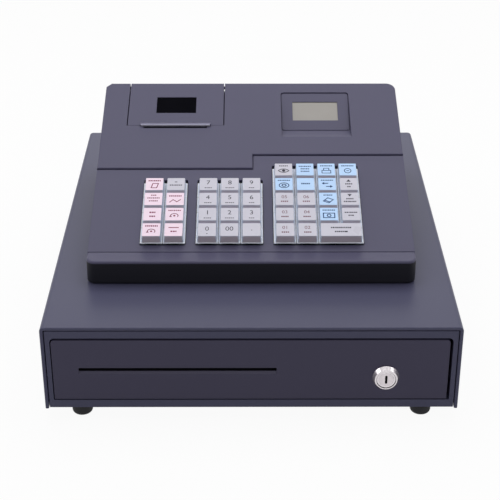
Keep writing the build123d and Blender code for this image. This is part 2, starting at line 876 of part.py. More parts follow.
with BuildPart() as base_tray:
    with BuildSketch(Plane.XY.offset(top_z)):
        add(outer_outline)
    extrude(amount=skirt_height)
    fillet(base_tray.faces().sort_by(Axis.Z)[0].edges(), skirt_round)
    with BuildSketch(Plane.XY.offset(tray_floor_z)):
        add(inner_outline)
    extrude(amount=skirt_height, mode=Mode.SUBTRACT)
    # Screw towers, drilled from below.
    with BuildSketch(Plane.XY.offset(tray_floor_z)):
        with Locations(*screw_places):
            RegularPolygon(screw_post_radius, 6)
    extrude(amount=skirt_height - shell_wall)
    with BuildSketch(Plane.XY.offset(top_z)):
        with Locations(*screw_places):
            Circle(screw_hole_radius)
    extrude(amount=skirt_height, mode=Mode.SUBTRACT)
    # Windows for the ports in the rear wall.
    with BuildSketch(station(register_rear - shell_wall)):
        for x in port_places:
            with Locations((x, top_z + port_rise + port_height / 2)):
                Rectangle(port_width + 2 * port_play, port_height + 2 * port_play)
    extrude(amount=-shell_wall, mode=Mode.SUBTRACT)

base_tray.part.label = "base_tray"
export_step(base_tray.part, "parts/base_tray.step")

# ---------------------------------------------------------------- key layout
key_base = key_pitch - key_gap


def key_row_s(row):
    """Distance up the slope to the middle of a row of keys, the first row at the front."""
    return key_front_s + key_base / 2 + row * key_pitch


key_blocks = [
    ("left", key_column_left, left_column_count, main_row_count),
    ("middle", key_column_middle, middle_column_count, main_row_count),
    ("right", key_column_right, right_column_count, right_row_count),
]
wide_key = ("right", 0, 2)  # block, row and first column of the double-width key
keys = []
for block, first_x, columns, rows in key_blocks:
    for row in range(rows):
        for column in range(columns):
            if (block, row, column - 1) == wide_key:
                continue
            span = key_pitch if (block, row, column) == wide_key else 0
            key_x = first_x + column * key_pitch + span / 2
            keys.append((f"key_{block}_row{row + 1}_{column + 1}", key_x, key_row_s(row), span))

# ---------------------------------------------------------------- printer cover places
cover_right = cover_left + cover_width
cover_mid_x = cover_left + cover_width / 2
cover_sweep = cover_hinge_inset / math.sin((math.pi / 2 - slope) / 2)  # hinge to the rear corner
hinge_n = step_height - cover_hinge_inset
hinge_y = register_rear - cover_hinge_inset
hinge_s = (hinge_y - groove_y + hinge_n * math.sin(slope)) / math.cos(slope)
hinge_z = deck_point(hinge_s, hinge_n)[1]
notch_left = cover_left - cover_gap
notch_right = cover_right + cover_gap
notch_radius = cover_sweep + cover_gap_barrel
clear_above = 9.0
pin_reach = cover_gap + cover_pin_length
cheek = 3.0
cheek_drop = 9.0
cheek_inset = 1.0
slot_lean = 1.5
slot_s = cover_front_s - paper_slot_depth
window_mid_s = window_front_s + window_length / 2

notch_roof_cut = deck_prism(
    notch_left,
    notch_right - notch_left,
    [
        (cover_front_s - cover_gap_front, step_height + clear_above),
        (cover_front_s - cover_gap_front, -2 * shell_wall),
        (hinge_s, -2 * shell_wall),
        (hinge_s, step_height + clear_above),
    ],
)
notch_barrel_cut = axle(notch_radius, notch_left, hinge_y, hinge_z, notch_right - notch_left)
slot_cut = deck_prism(
    cover_mid_x - paper_slot_length / 2,
    paper_slot_length,
    [
        (slot_s, step_height + 1),
        (slot_s + slot_lean, step_height - shell_wall - 1),
        (cover_front_s, step_height - shell_wall - 1),
        (cover_front_s, step_height + 1),
    ],
)

# ---------------------------------------------------------------- display places
display_mid_x = display_left + display_width / 2
display_fall = math.atan2(display_sink - display_top_sink, display_top_s - display_sink_s)
display_run = math.hypot(display_sink - display_top_sink, display_top_s - display_sink_s)
display_tilt = slope + display_fall
face_y, face_z = deck_point(display_sink_s, step_height - display_sink)
display_face = Plane(
    origin=(display_mid_x, face_y, face_z),
    x_dir=(1, 0, 0),
    z_dir=(0, -math.sin(display_tilt), math.cos(display_tilt)),
)
lcd_mid = display_run - lcd_margin_top - lcd_length / 2
display_floor = display_wall / math.cos(display_fall)
display_lean = display_wall * math.tan(display_fall)

display_shell = deck_prism(
    display_left - display_wall,
    display_width + 2 * display_wall,
    [
        (display_top_s + display_wall, step_height - edge_round),
        (display_top_s + display_wall, step_height - display_top_sink - display_floor + display_lean),
        (display_sink_s, step_height - display_sink - display_floor),
        (display_sink_s - display_wall, step_height - display_sink - display_floor),
        (display_front_s - 2.2 * display_wall, step_height - edge_round),
    ],
)


def display_recess():
    """Cutter of the display recess: sunk face, ramp in front and rounded upper corners."""
    with BuildPart() as recess:
        with BuildSketch(slice_at(display_left)):
            with BuildLine():
                corners = [
                    (display_top_s, step_height + display_corner),
                    (display_top_s, step_height - display_top_sink),
                    (display_sink_s, step_height - display_sink),
                    (display_front_s, step_height),
                    (display_front_s, step_height + display_corner),
                ]
                Polyline(*[deck_point(s, n) for s, n in corners], close=True)
            make_face()
        extrude(amount=display_width)
        upright = recess.edges().filter_by(Axis((0, 0, 0), tuple(deck.z_dir)))
        fillet(upright.sort_by(Axis.Y)[-2:], display_corner)
    return recess.part


recess_cut = display_recess()

# Groove round the sunk face, which sets it off like a separate panel.
with BuildPart() as display_seam:
    with BuildSketch(display_face):
        with Locations((0, display_run / 2)):
            RectangleRounded(display_width, display_run, display_corner)
            RectangleRounded(
                display_width - 2 * display_groove,
                display_run - 2 * display_groove,
                display_corner - display_groove,
                mode=Mode.SUBTRACT,
            )
    extrude(amount=-display_groove_depth)

# ---------------------------------------------------------------- upper case: moulded grey shell
outer_form = shell_form(0, outer_outline, shell_z)
inner_form = shell_form(shell_wall, inner_outline, shell_z - 1)
opening_front = key_front_s - key_margin_front
block_half = key_pitch / 2
block_ends = [(x - block_half, x + (columns - 0.5) * key_pitch) for _, x, columns, _ in key_blocks]
post_columns = [
    block_ends[0][0] - 2 * key_board_post_radius,
    (block_ends[0][1] + block_ends[1][0]) / 2,
    (block_ends[1][1] + block_ends[2][0]) / 2,
    block_ends[2][1] + 2 * key_board_post_radius,
]
post_places = [(x, key_row_s(row)) for x in post_columns for row in (0, main_row_count - 1)]
rear_screws = [(x, y) for x, y in screw_places if y > groove_y]
rear_screw_y = register_rear - screw_inset
roof_rise = (rear_screw_y - groove_y) * math.tan(slope)
rear_roof_z = groove_z + roof_rise + (step_height - shell_wall) / math.cos(slope)

with BuildPart() as upper_case:
    add(outer_form)
    deck_faces = upper_case.faces().filter_by(lambda face: face.normal_at().dot(deck.z_dir) > 0.999)
    rear_face = deck_faces.sort_by(Axis((0, groove_y, groove_z), tuple(deck.z_dir)))[-1]
    fillet(rear_face.edges(), edge_round)
    lip_faces = upper_case.faces().filter_by(lambda face: abs(face.center().Z - groove_z) < 0.01)
    lip_edges = lip_faces[0].edges().filter_by(lambda edge: edge.center().Y < groove_y - 0.01)
    fillet(lip_edges, lip_round)
    add(inner_form, mode=Mode.SUBTRACT)
    add(display_shell)
    # Groove between the lip and the key deck.
    with BuildSketch(slice_at(-register_width / 2)):
        with Locations((groove_y, groove_z)):
            Rectangle(groove_width, 2 * groove_depth)
    extrude(amount=register_width, mode=Mode.SUBTRACT)
    # Groove in the key deck at the foot of the step and its jog.
    with BuildSketch(deck.offset(1)):
        with BuildLine():
            Polyline(
                (-register_width / 2, step_left),
                (step_jog_x, step_left),
                (step_jog_x, step_right),
                (register_width / 2, step_right),
                (register_width / 2, step_right - step_groove),
                (step_jog_x + step_groove, step_right - step_groove),
                (step_jog_x + step_groove, step_left - step_groove),
                (-register_width / 2, step_left - step_groove),
                close=True,
            )
        make_face()
    extrude(amount=-step_groove_depth - 1, mode=Mode.SUBTRACT)
    # One opening round each block of keys.
    with BuildSketch(deck.offset(1)):
        for block, first_x, columns, rows in key_blocks:
            span_x = (columns - 1) * key_pitch + key_base + 2 * key_margin_side
            span_s = (rows - 1) * key_pitch + key_base + key_margin_front + key_margin_rear
            with Locations((first_x + (columns - 1) * key_pitch / 2, opening_front + span_s / 2)):
                RectangleRounded(span_x, span_s, key_opening_corner)
    extrude(amount=-2 * shell_wall, mode=Mode.SUBTRACT)
    # Posts under the key deck, which carry the key board.
    with BuildSketch(deck.offset(-key_board_drop)):
        with Locations(*post_places):
            RegularPolygon(key_board_post_radius, 6)
    extrude(amount=key_board_drop - shell_wall / 2)
    # Rear screw towers, down to the base tray's own.
    with BuildSketch(Plane.XY.offset(shell_z)):
        with Locations(*rear_screws):
            RegularPolygon(screw_post_radius, 6)
            Circle(screw_hole_radius, mode=Mode.SUBTRACT)
    extrude(amount=rear_roof_z - shell_z)
    # Cheeks beside the printer cover, bored for its hinge pins.
    for x in (notch_left - cheek, notch_right):
        with BuildSketch(slice_at(x)):
            with BuildLine():
                Polyline(
                    deck_point(hinge_s - 2 * cheek_drop, step_height - cheek_inset),
                    deck_point(hinge_s, step_height - cheek_inset),
                    (register_rear - cheek_inset, hinge_z),
                    (register_rear - cheek_inset, hinge_z - cheek_drop),
                    (hinge_y - cheek_drop, hinge_z - cheek_drop),
                    close=True,
                )
            make_face()
        extrude(amount=cheek)
    add(notch_roof_cut, mode=Mode.SUBTRACT)
    add(notch_barrel_cut, mode=Mode.SUBTRACT)
    add(slot_cut, mode=Mode.SUBTRACT)
    for x in (notch_left - cheek, notch_right):
        add(axle(cover_pin_radius + running_play, x, hinge_y, hinge_z, cheek), mode=Mode.SUBTRACT)
    # Display recess and its window.
    add(recess_cut, mode=Mode.SUBTRACT)
    add(display_seam.part, mode=Mode.SUBTRACT)
    with BuildSketch(display_face):
        with Locations((0, lcd_mid)):
            Rectangle(lcd_width, lcd_length)
    extrude(amount=-2 * display_wall, mode=Mode.SUBTRACT)
    # Cut-out of the power switch in the rear wall.
    with BuildSketch(station(register_rear - shell_wall)):
        with Locations((rocker_x, top_z + rocker_rise)):
            Rectangle(rocker_width + rocker_border, rocker_length + rocker_border)
    extrude(amount=-shell_wall, mode=Mode.SUBTRACT)

upper_case.part.label = "upper_case"
export_step(upper_case.part, "parts/upper_case.step")

# ---------------------------------------------------------------- keys
key_foot_z = key_lift + key_flange
key_top_z = key_lift + key_height
key_foot = key_base - 2 * key_ledge
plunger_z = switch_height - key_board_drop + key_travel + key_lift


def cap_block(span, wall, low, high):
    """Tapered block of a cap, drawn in by wall: a side profile crossed with a front profile."""
    foot = key_foot / 2 - wall
    front = key_inset_front + wall - key_base / 2
    rear = key_base / 2 - key_inset_rear - wall
    side = (key_base + span) / 2 - key_inset_side - wall
    with BuildPart() as block:
        with BuildSketch(Plane.YZ.offset(-foot - span)):
            with BuildLine():
                Polyline((-foot, low), (foot, low), (rear, high), (front, high), close=True)
            make_face()
        extrude(amount=2 * (foot + span))
        with BuildSketch(Plane.XZ.offset(-key_base)):
            with BuildLine():
                Polyline(
                    (-foot - span / 2, low),
                    (foot + span / 2, low),
                    (side, high),
                    (-side, high),
                    close=True,
                )
            make_face()
        extrude(amount=2 * key_base, mode=Mode.INTERSECT)
    return block.part


def key_form(span):
    """A key in the deck's own axes, over the origin; span widens it beyond a single key."""
    with BuildPart() as form:
        # Flange with the cap on it, hollow from below.
        with BuildSketch(Plane.XY.offset(key_lift)):
            Rectangle(key_base + span, key_base)
        extrude(amount=key_flange)
        add(cap_block(span, 0, key_foot_z, key_top_z))
        add(cap_block(span, key_wall, key_lift, key_top_z - key_wall), mode=Mode.SUBTRACT)
        # Relief in the flange's lower edge, front and rear.
        with BuildSketch(Plane.XZ.offset(-key_base)):
            with Locations((0, key_lift)):
                Trapezoid(key_base + span - key_relief_margin, 2 * key_relief, key_relief_angle)
        extrude(amount=2 * key_base, mode=Mode.SUBTRACT)
        # Plunger down to the switch.
        with BuildSketch(Plane.XY.offset(plunger_z)):
            Rectangle(key_plunger, key_plunger)
        extrude(amount=key_top_z - key_wall / 2 - plunger_z)
    return form.part


single_key = key_form(0)
double_key = key_form(key_pitch)

for key_name, x, s, span in keys:
    with BuildPart() as key:
        with Locations(deck.location * Pos(x, s)):
            add(double_key if span else single_key)
    key.part.label = key_name
    export_step(key.part, f"parts/{key_name}.step")

# ---------------------------------------------------------------- printer cover: tear bar, barrel, window
lug_x = platen_length / 2 + side_play
platen_s = cover_front_s + platen_setback
platen_n = step_height - platen_drop
platen_y, platen_z = deck_point(platen_s, platen_n)
tear_bar_foot = 0.4
tear_bar = deck_prism(
    cover_mid_x - tear_bar_length / 2,
    tear_bar_length,
    [
        (cover_front_s, step_height - tear_bar_foot),
        (cover_front_s, step_height + tear_bar_foot),
        (cover_front_s - tear_bar_overhang + tear_bar_foot, step_height + 2 * tear_bar_foot),
        (cover_front_s - tear_bar_overhang, step_height + tear_bar_height),
        (cover_front_s, step_height + tear_bar_height),
        (cover_front_s + tear_bar_depth, step_height - tear_bar_foot),
    ],
)
lug_root_n = step_height - cover_thickness / 2
lug_half = 3.0

with BuildPart() as printer_cover:
    with BuildSketch(rear_deck):
        with Locations((cover_mid_x, (cover_front_s + hinge_s) / 2)):
            Rectangle(cover_width, hinge_s - cover_front_s)
    extrude(amount=-cover_thickness)
    # Barrel about the hinge, cut flush with the deck and with the rear wall.
    add(axle(cover_sweep, cover_left, hinge_y, hinge_z, cover_width))
    split(bisect_by=rear_deck, keep=Keep.BOTTOM)
    split(bisect_by=Plane.XZ.offset(-register_rear), keep=Keep.TOP)
    rear_top = printer_cover.edges().filter_by(Axis.X).group_by(Axis.Z)[-1]
    fillet(rear_top, edge_round)
    add(axle(cover_pin_radius, cover_left - pin_reach, hinge_y, hinge_z, cover_width + 2 * pin_reach))
    add(tear_bar)
    # Lugs that carry the platen.
    for x in (cover_mid_x - lug_x - platen_lug, cover_mid_x + lug_x):
        with BuildSketch(slice_at(x)):
            with BuildLine():
                Polyline(
                    deck_point(platen_s - 2 * lug_half, lug_root_n),
                    deck_point(platen_s - lug_half, platen_n - lug_half),
                    deck_point(platen_s + lug_half, platen_n - lug_half),
                    deck_point(platen_s + 2 * lug_half, lug_root_n),
                    close=True,
                )
            make_face()
            with Locations((platen_y, platen_z)):
                Circle(platen_shaft_radius + running_play, mode=Mode.SUBTRACT)
        extrude(amount=platen_lug)
    # Window with a rebate for its pane.
    with BuildSketch(rear_deck):
        with Locations((cover_mid_x, window_mid_s)):
            Rectangle(window_width, window_length)
    extrude(amount=-window_thickness - window_sink, mode=Mode.SUBTRACT)
    with BuildSketch(rear_deck):
        with Locations((cover_mid_x, window_mid_s)):
            Rectangle(window_width - 2 * window_rebate, window_length - 2 * window_rebate)
    extrude(amount=-cover_thickness, mode=Mode.SUBTRACT)

printer_cover.part.label = "printer_cover"
export_step(printer_cover.part, "parts/printer_cover.step")

with BuildPart() as printer_window:
    with BuildSketch(rear_deck.offset(-window_sink)):
        with Locations((cover_mid_x, window_mid_s)):
            Rectangle(window_width, window_length)
    extrude(amount=-window_thickness)

printer_window.part.label = "printer_window"
export_step(printer_window.part, "parts/printer_window.step")

# ---------------------------------------------------------------- platen roller
with BuildPart() as platen_roller:
    add(axle(platen_radius, cover_mid_x - platen_length / 2, platen_y, platen_z, platen_length))
    shaft_half = lug_x + platen_lug
    add(axle(platen_shaft_radius, cover_mid_x - shaft_half, platen_y, platen_z, 2 * shaft_half))

platen_roller.part.label = "platen_roller"
export_step(platen_roller.part, "parts/platen_roller.step")

# ---------------------------------------------------------------- printer mechanism: bucket, head, motor
bucket_outer = bucket_radius + bucket_wall
bucket_half = bucket_width / 2 + bucket_wall
bucket_y = register_rear - shell_wall - bucket_clear_rear - bucket_outer
bucket_z = top_z + bucket_axis_rise
bucket_rim_z = top_z + bucket_rim_rise
head_top_z = platen_z - platen_radius - head_gap
plate_x = (cover_mid_x - bucket_half, cover_mid_x + bucket_half - bucket_wall)
motor_y = platen_y - 1.5 * motor_radius
motor_z = top_z + 4 * motor_radius
foot_arch = 8.0

with BuildPart() as printer_mechanism:
    with BuildSketch(slice_at(cover_mid_x - bucket_half)):
        with Locations((bucket_y, bucket_z)):
            Circle(bucket_outer)
        with Locations((bucket_y, (bucket_z + bucket_rim_z) / 2)):
            Rectangle(2 * bucket_outer, bucket_rim_z - bucket_z)
        with Locations((bucket_y, bucket_rim_z + bucket_outer)):
            Rectangle(2 * bucket_outer, 2 * bucket_outer, mode=Mode.SUBTRACT)
    extrude(amount=2 * bucket_half)
    # Side plates, from the base tray's floor up to the print head.
    for x in plate_x:
        with BuildSketch(slice_at(x)):
            with BuildLine():
                Polyline(
                    (bucket_y + bucket_outer, tray_floor_z),
                    (bucket_y + bucket_outer, bucket_z),
                    (platen_y + plate_behind, head_top_z),
                    (platen_y + head_behind - head_depth, head_top_z),
                    (motor_y - motor_radius, motor_z + motor_radius),
                    (motor_y - motor_radius, tray_floor_z),
                    (motor_y + motor_radius, tray_floor_z),
                    (motor_y + 2 * motor_radius, tray_floor_z + foot_arch),
                    (bucket_y + bucket_outer - 1.5 * foot_arch, tray_floor_z + foot_arch),
                    (bucket_y + bucket_outer - foot_arch, tray_floor_z),
                    close=True,
                )
            make_face()
        extrude(amount=bucket_wall)
    # Hollow of the bucket.
    with BuildSketch(slice_at(cover_mid_x - bucket_width / 2)):
        with Locations((bucket_y, bucket_z)):
            Circle(bucket_radius)
        with Locations((bucket_y, bucket_z + bucket_radius)):
            Rectangle(2 * bucket_radius, 2 * bucket_radius)
    extrude(amount=bucket_width, mode=Mode.SUBTRACT)
    # Print head under the platen.
    with BuildSketch(slice_at(cover_mid_x - bucket_half)):
        with Locations((platen_y + head_behind - head_depth / 2, head_top_z - head_thickness / 2)):
            Rectangle(head_depth, head_thickness)
    extrude(amount=2 * bucket_half)
    add(axle(motor_radius, cover_mid_x + bucket_half, motor_y, motor_z, motor_length))

printer_mechanism.part.label = "printer_mechanism"
export_step(printer_mechanism.part, "parts/printer_mechanism.step")

# ---------------------------------------------------------------- display panel
with BuildPart() as lcd_panel:
    with BuildSketch(display_face.offset(-lcd_sink)):
        with Locations((0, lcd_mid)):
            Rectangle(lcd_width, lcd_length)
    extrude(amount=-display_wall + lcd_sink)
    with BuildSketch(display_face.offset(-display_wall)):
        with Locations((0, lcd_mid)):
            Rectangle(lcd_width + 2 * lcd_flange, lcd_length + 2 * lcd_flange)
    extrude(amount=-lcd_thickness)

lcd_panel.part.label = "lcd_panel"
export_step(lcd_panel.part, "parts/lcd_panel.step")

# ---------------------------------------------------------------- circuit boards, switches and sockets
board_y = register_y + main_board_front
board_z = top_z + main_board_rise
chip_y = board_y + main_board_length / 2
key_board_x0 = key_column_left - key_pitch
key_board_x1 = key_column_right + right_column_count * key_pitch
key_board_s1 = key_front_s + right_row_count * key_pitch
switch_sites = [(x, s) for _, x, s, _ in keys]
port_board_depth = 1.5 * port_length
port_board_y = register_rear - shell_wall - port_board_depth / 2
port_board_z = top_z + port_rise - board_thickness
port_front_y = register_rear - port_length
rocker_y = register_rear - rocker_body_depth / 3
rocker_z = top_z + rocker_rise
housing_width = rocker_width + rocker_border
housing_length = rocker_length + rocker_border
rocker_room = 0.3
housing_floor = 1.2
housing_front_y = rocker_y - rocker_body_depth / 2

with BuildPart() as circuit_boards:
    # Main board on stand-offs, with its large components.
    with BuildSketch(Plane.XY.offset(board_z)):
        with Locations((0, board_y + main_board_length / 2)):
            Rectangle(main_board_width, main_board_length)
    extrude(amount=board_thickness)
    with BuildSketch(Plane.XY.offset(tray_floor_z)):
        with Locations((0, board_y + main_board_length / 2)):
            with GridLocations(
                main_board_width - 2 * standoff_across, main_board_length - 2 * standoff_across, 2, 2
            ):
                RegularPolygon(standoff_across / 2, 6)
    extrude(amount=board_z - tray_floor_z)
    with BuildSketch(Plane.XY.offset(board_z + board_thickness)):
        with Locations((-main_board_width / 3, board_y + main_board_length / 3), (0, chip_y)):
            Rectangle(chip_size, chip_size)
        with Locations((main_board_width / 3, chip_y)):
            Rectangle(2 * chip_size, chip_size / 2)
    extrude(amount=chip_height)
    # Key board under the key deck, with one switch for each key.
    with BuildSketch(deck.offset(-key_board_drop)):
        with Locations(((key_board_x0 + key_board_x1) / 2, key_board_s1 / 2)):
            Rectangle(key_board_x1 - key_board_x0, key_board_s1)
    extrude(amount=-board_thickness)
    with BuildSketch(deck.offset(-key_board_drop)):
        with Locations(*switch_sites):
            Rectangle(switch_size, switch_size)
    extrude(amount=switch_height)
    # Power jack and drawer socket on their own small board at the rear wall.
    with BuildSketch(Plane.XY.offset(port_board_z)):
        with Locations((port_x + port_pitch / 2, port_board_y)):
            Rectangle(port_pitch + 2 * port_width, port_board_depth)
    extrude(amount=board_thickness)
    with BuildSketch(Plane.XY.offset(tray_floor_z)):
        with Locations((port_x + port_pitch / 2, port_board_y)):
            with GridLocations(port_pitch + port_width, port_board_depth - standoff_across, 2, 2):
                RegularPolygon(standoff_across / 2, 6)
    extrude(amount=port_board_z - tray_floor_z)
    with BuildSketch(station(port_front_y, port_board_z + board_thickness)):
        for x in port_places:
            with Locations((x, port_height / 2)):
                Rectangle(port_width, port_height)
    extrude(amount=-port_length)
    with BuildSketch(station(register_rear, port_board_z + board_thickness)):
        with Locations((port_places[0], port_height / 2)):
            Circle(jack_radius)
        with Locations((port_places[1], port_height / 2)):
            Rectangle(port_width - 2 * port_wall, port_height - 3 * port_wall)
    extrude(amount=port_length - port_floor, mode=Mode.SUBTRACT)
    # The drawer's own socket in the rear wall of the chassis.
    with BuildSketch(station(wall_y - port_length, case_z)):
        with Locations((port_x, socket_rise)):
            Rectangle(port_width, port_height)
    extrude(amount=-port_length)
    with BuildSketch(station(wall_y, case_z)):
        with Locations((port_x, socket_rise)):
            Rectangle(port_width - 2 * port_wall, port_height - 3 * port_wall)
    extrude(amount=port_length - port_floor, mode=Mode.SUBTRACT)
    # Housing of the power switch, clipped into the rear wall.
    with BuildSketch(station(housing_front_y)):
        with Locations((rocker_x, rocker_z)):
            Rectangle(housing_width, housing_length)
    extrude(amount=-(register_rear - housing_front_y))
    with BuildSketch(station(register_rear)):
        with Locations((rocker_x, rocker_z)):
            Rectangle(housing_width + rocker_border, housing_length + rocker_border)
    extrude(amount=-rocker_flange)
    with BuildSketch(station(register_rear + rocker_flange)):
        with Locations((rocker_x, rocker_z)):
            Rectangle(rocker_width + 2 * rocker_room, rocker_length + 2 * rocker_room)
    extrude(amount=register_rear + rocker_flange - housing_front_y - housing_floor, mode=Mode.SUBTRACT)
    pin_length = rocker_width + 2 * rocker_room + 2 * rocker_pin_bite
    pin_x = rocker_x - pin_length / 2
    add(axle(rocker_pin_radius + running_play, pin_x, rocker_y, rocker_z, pin_length), mode=Mode.SUBTRACT)

circuit_boards.part.label = "circuit_boards"
export_step(circuit_boards.part, "parts/circuit_boards.step")

# ---------------------------------------------------------------- power switch rocker
tilt = math.radians(rocker_tilt)
rocker_plane = Plane(
    origin=(rocker_x - rocker_width / 2, rocker_y, rocker_z),
    x_dir=(0, math.cos(tilt), -math.sin(tilt)),
    z_dir=(1, 0, 0),
)
rocker_half = rocker_length / 2 - rocker_end_play
rocker_rise_end = register_rear + rocker_flange - rocker_y + rocker_stand

with BuildPart() as power_switch:
    with BuildSketch(rocker_plane):
        with BuildLine():
            Polyline(
                (-rocker_keel, 0),
                (0, rocker_half),
                (rocker_rise_end, rocker_half),
                (rocker_rise_end - rocker_half * math.tan(tilt), 0),
                (rocker_rise_end, -rocker_half),
                (0, -rocker_half),
                close=True,
            )
        make_face()
    extrude(amount=rocker_width)
    add(axle(rocker_pin_radius, pin_x, rocker_y, rocker_z, pin_length))

power_switch.part.label = "power_switch"
export_step(power_switch.part, "parts/power_switch.step")

print(f"The drawer slides {drawer_travel:.1f} mm and the printer cover opens {cover_opens:.0f} degrees.")
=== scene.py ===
import json
import math

import bmesh
import bpy
from mathutils import Matrix, Vector


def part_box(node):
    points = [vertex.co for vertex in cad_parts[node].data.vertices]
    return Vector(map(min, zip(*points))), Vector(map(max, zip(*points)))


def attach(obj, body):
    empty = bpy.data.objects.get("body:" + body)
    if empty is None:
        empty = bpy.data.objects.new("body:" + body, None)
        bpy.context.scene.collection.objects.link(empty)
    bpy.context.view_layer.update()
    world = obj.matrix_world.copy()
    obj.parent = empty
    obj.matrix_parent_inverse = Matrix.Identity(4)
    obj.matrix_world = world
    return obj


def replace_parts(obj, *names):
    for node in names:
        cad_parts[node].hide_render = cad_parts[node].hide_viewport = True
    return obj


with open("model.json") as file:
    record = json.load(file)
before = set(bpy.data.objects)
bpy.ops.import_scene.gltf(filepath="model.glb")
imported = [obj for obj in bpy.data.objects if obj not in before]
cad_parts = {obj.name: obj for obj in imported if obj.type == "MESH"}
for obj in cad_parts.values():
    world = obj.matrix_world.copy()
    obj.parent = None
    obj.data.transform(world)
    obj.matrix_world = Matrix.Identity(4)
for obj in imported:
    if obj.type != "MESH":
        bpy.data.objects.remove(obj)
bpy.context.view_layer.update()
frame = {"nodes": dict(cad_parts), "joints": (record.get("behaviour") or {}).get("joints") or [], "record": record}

# Lengths are metres in the CAD model's frame: +X is the clerk's right, +Y the rear, +Z up.
MM = 0.001
nodes = frame["nodes"]
record = frame["record"]
joint_of = {joint["child"]: joint for joint in frame["joints"]}
slot_of = {part["node"]: part["material_slot"] for part in record["subparts"]}
scene = bpy.context.scene
scene.view_settings.view_transform = "Standard"

# ---------------------------------------------------------------- shader helpers


def srgb(red, green, blue):
    """Linear RGBA of an sRGB colour given as 0 to 255."""

    def channel(value):
        value /= 255
        return value / 12.92 if value <= 0.04045 else ((value + 0.055) / 1.055) ** 2.4

    return (channel(red), channel(green), channel(blue), 1.0)


def scaled(color, factor):
    """A colour made lighter or darker by a factor."""
    return tuple(min(1.0, c * factor) for c in color[:3]) + (1.0,)


def feed(tree, socket, value):
    """Sets a socket to a constant, or links another node's output to it."""
    if isinstance(value, bpy.types.NodeSocket):
        tree.links.new(value, socket)
    else:
        socket.default_value = value


def add_node(tree, kind, **inputs):
    """Adds a node and feeds its inputs, where an underscore stands for a space."""
    made = tree.nodes.new(kind)
    for name, value in inputs.items():
        feed(tree, made.inputs[name.replace("_", " ")], value)
    return made


def add_math(tree, operation, first, second):
    """Adds a calculation with two numbers, and returns its result."""
    made = tree.nodes.new("ShaderNodeMath")
    made.operation = operation
    for socket, value in zip(made.inputs, (first, second)):
        feed(tree, socket, value)
    return made.outputs["Value"]


NOISE_LOW, NOISE_HIGH = 0.3, 0.7  # most values of a noise texture lie between these
COLOR_FIRST, COLOR_SECOND, COLOR_MIXED = 6, 7, 2  # a mix node's sockets for colours
BEVEL_SAMPLES = 6


class Shader:
    """A new material with one Principled BSDF and short ways to add nodes."""

    def __init__(self, name, **sockets):
        self.material = bpy.data.materials.new(name)
        self.material.use_nodes = True
        self.tree = self.material.node_tree
        self.bsdf = self.tree.nodes["Principled BSDF"]
        for socket, value in sockets.items():
            self.bsdf.inputs[socket.replace("_", " ")].default_value = value
        self.place = self.node("ShaderNodeTexCoord").outputs["Object"]

    def node(self, kind, **inputs):
        return add_node(self.tree, kind, **inputs)

    def noise(self, scale, detail=2.0, stretch=None):
        """Noise in the object's own metres, stretched along its axes if asked."""
        place = self.place
        if stretch:
            place = self.node("ShaderNodeMapping", Vector=place, Scale=stretch).outputs["Vector"]
        return self.node("ShaderNodeTexNoise", Vector=place, Scale=scale, Detail=detail).outputs["Fac"]

    def spread(self, noise, low, high):
        """A number between low and high that follows a noise."""
        span = {"From_Min": NOISE_LOW, "From_Max": NOISE_HIGH, "To_Min": low, "To_Max": high}
        return self.node("ShaderNodeMapRange", Value=noise, **span).outputs["Result"]

    def mix(self, factor, first, second):
        """A colour between two, by a factor."""
        made = self.node("ShaderNodeMix")
        made.data_type = "RGBA"
        for socket, value in (("Factor", factor), (COLOR_FIRST, first), (COLOR_SECOND, second)):
            feed(self.tree, made.inputs[socket], value)
        return made.outputs[COLOR_MIXED]

    def above(self, value, limit):
        """1 where a value is over a limit, else 0."""
        return add_math(self.tree, "GREATER_THAN", value, limit)

    def axis(self, name):
        """The place along one of the object's own axes."""
        return self.node("ShaderNodeSeparateXYZ", Vector=self.place).outputs[name]

    def color(self, value):
        feed(self.tree, self.bsdf.inputs["Base Color"], value)

    def roughness(self, value):
        feed(self.tree, self.bsdf.inputs["Roughness"], value)

    def relief(self, height, depth, strength, edge=0.0):
        """Fine surface relief of a depth in metres, over edges softened by a radius in metres."""
        bump = self.node("ShaderNodeBump", Height=height, Distance=depth, Strength=strength)
        if edge:
            bevel = self.node("ShaderNodeBevel", Radius=edge)
            bevel.samples = BEVEL_SAMPLES
            self.tree.links.new(bevel.outputs["Normal"], bump.inputs["Normal"])
        self.tree.links.new(bump.outputs["Normal"], self.bsdf.inputs["Normal"])


# ---------------------------------------------------------------- materials
GRAIN_DEPTH = 0.03 * MM
PAINT_EDGE = 0.4 * MM  # radius that the shading gives to sharp edges
MOULDED_EDGE = 0.35 * MM
METAL_EDGE = 0.2 * MM


def powder_coat(name, color):
    """Fine textured paint on sheet steel."""
    paint = Shader(name, Specular_IOR_Level=0.2)
    cloud = paint.noise(scale=9.0, detail=3.0)
    grain = paint.noise(scale=1500.0, detail=3.0)
    speckle = paint.mix(paint.spread(grain, 0.0, 1.0), scaled(color, 0.93), scaled(color, 1.07))
    paint.color(paint.mix(paint.spread(cloud, 0.0, 0.35), speckle, scaled(color, 1.05)))
    paint.roughness(paint.spread(grain, 0.36, 0.46))
    paint.relief(grain, GRAIN_DEPTH, 0.35, PAINT_EDGE)
    return paint.material


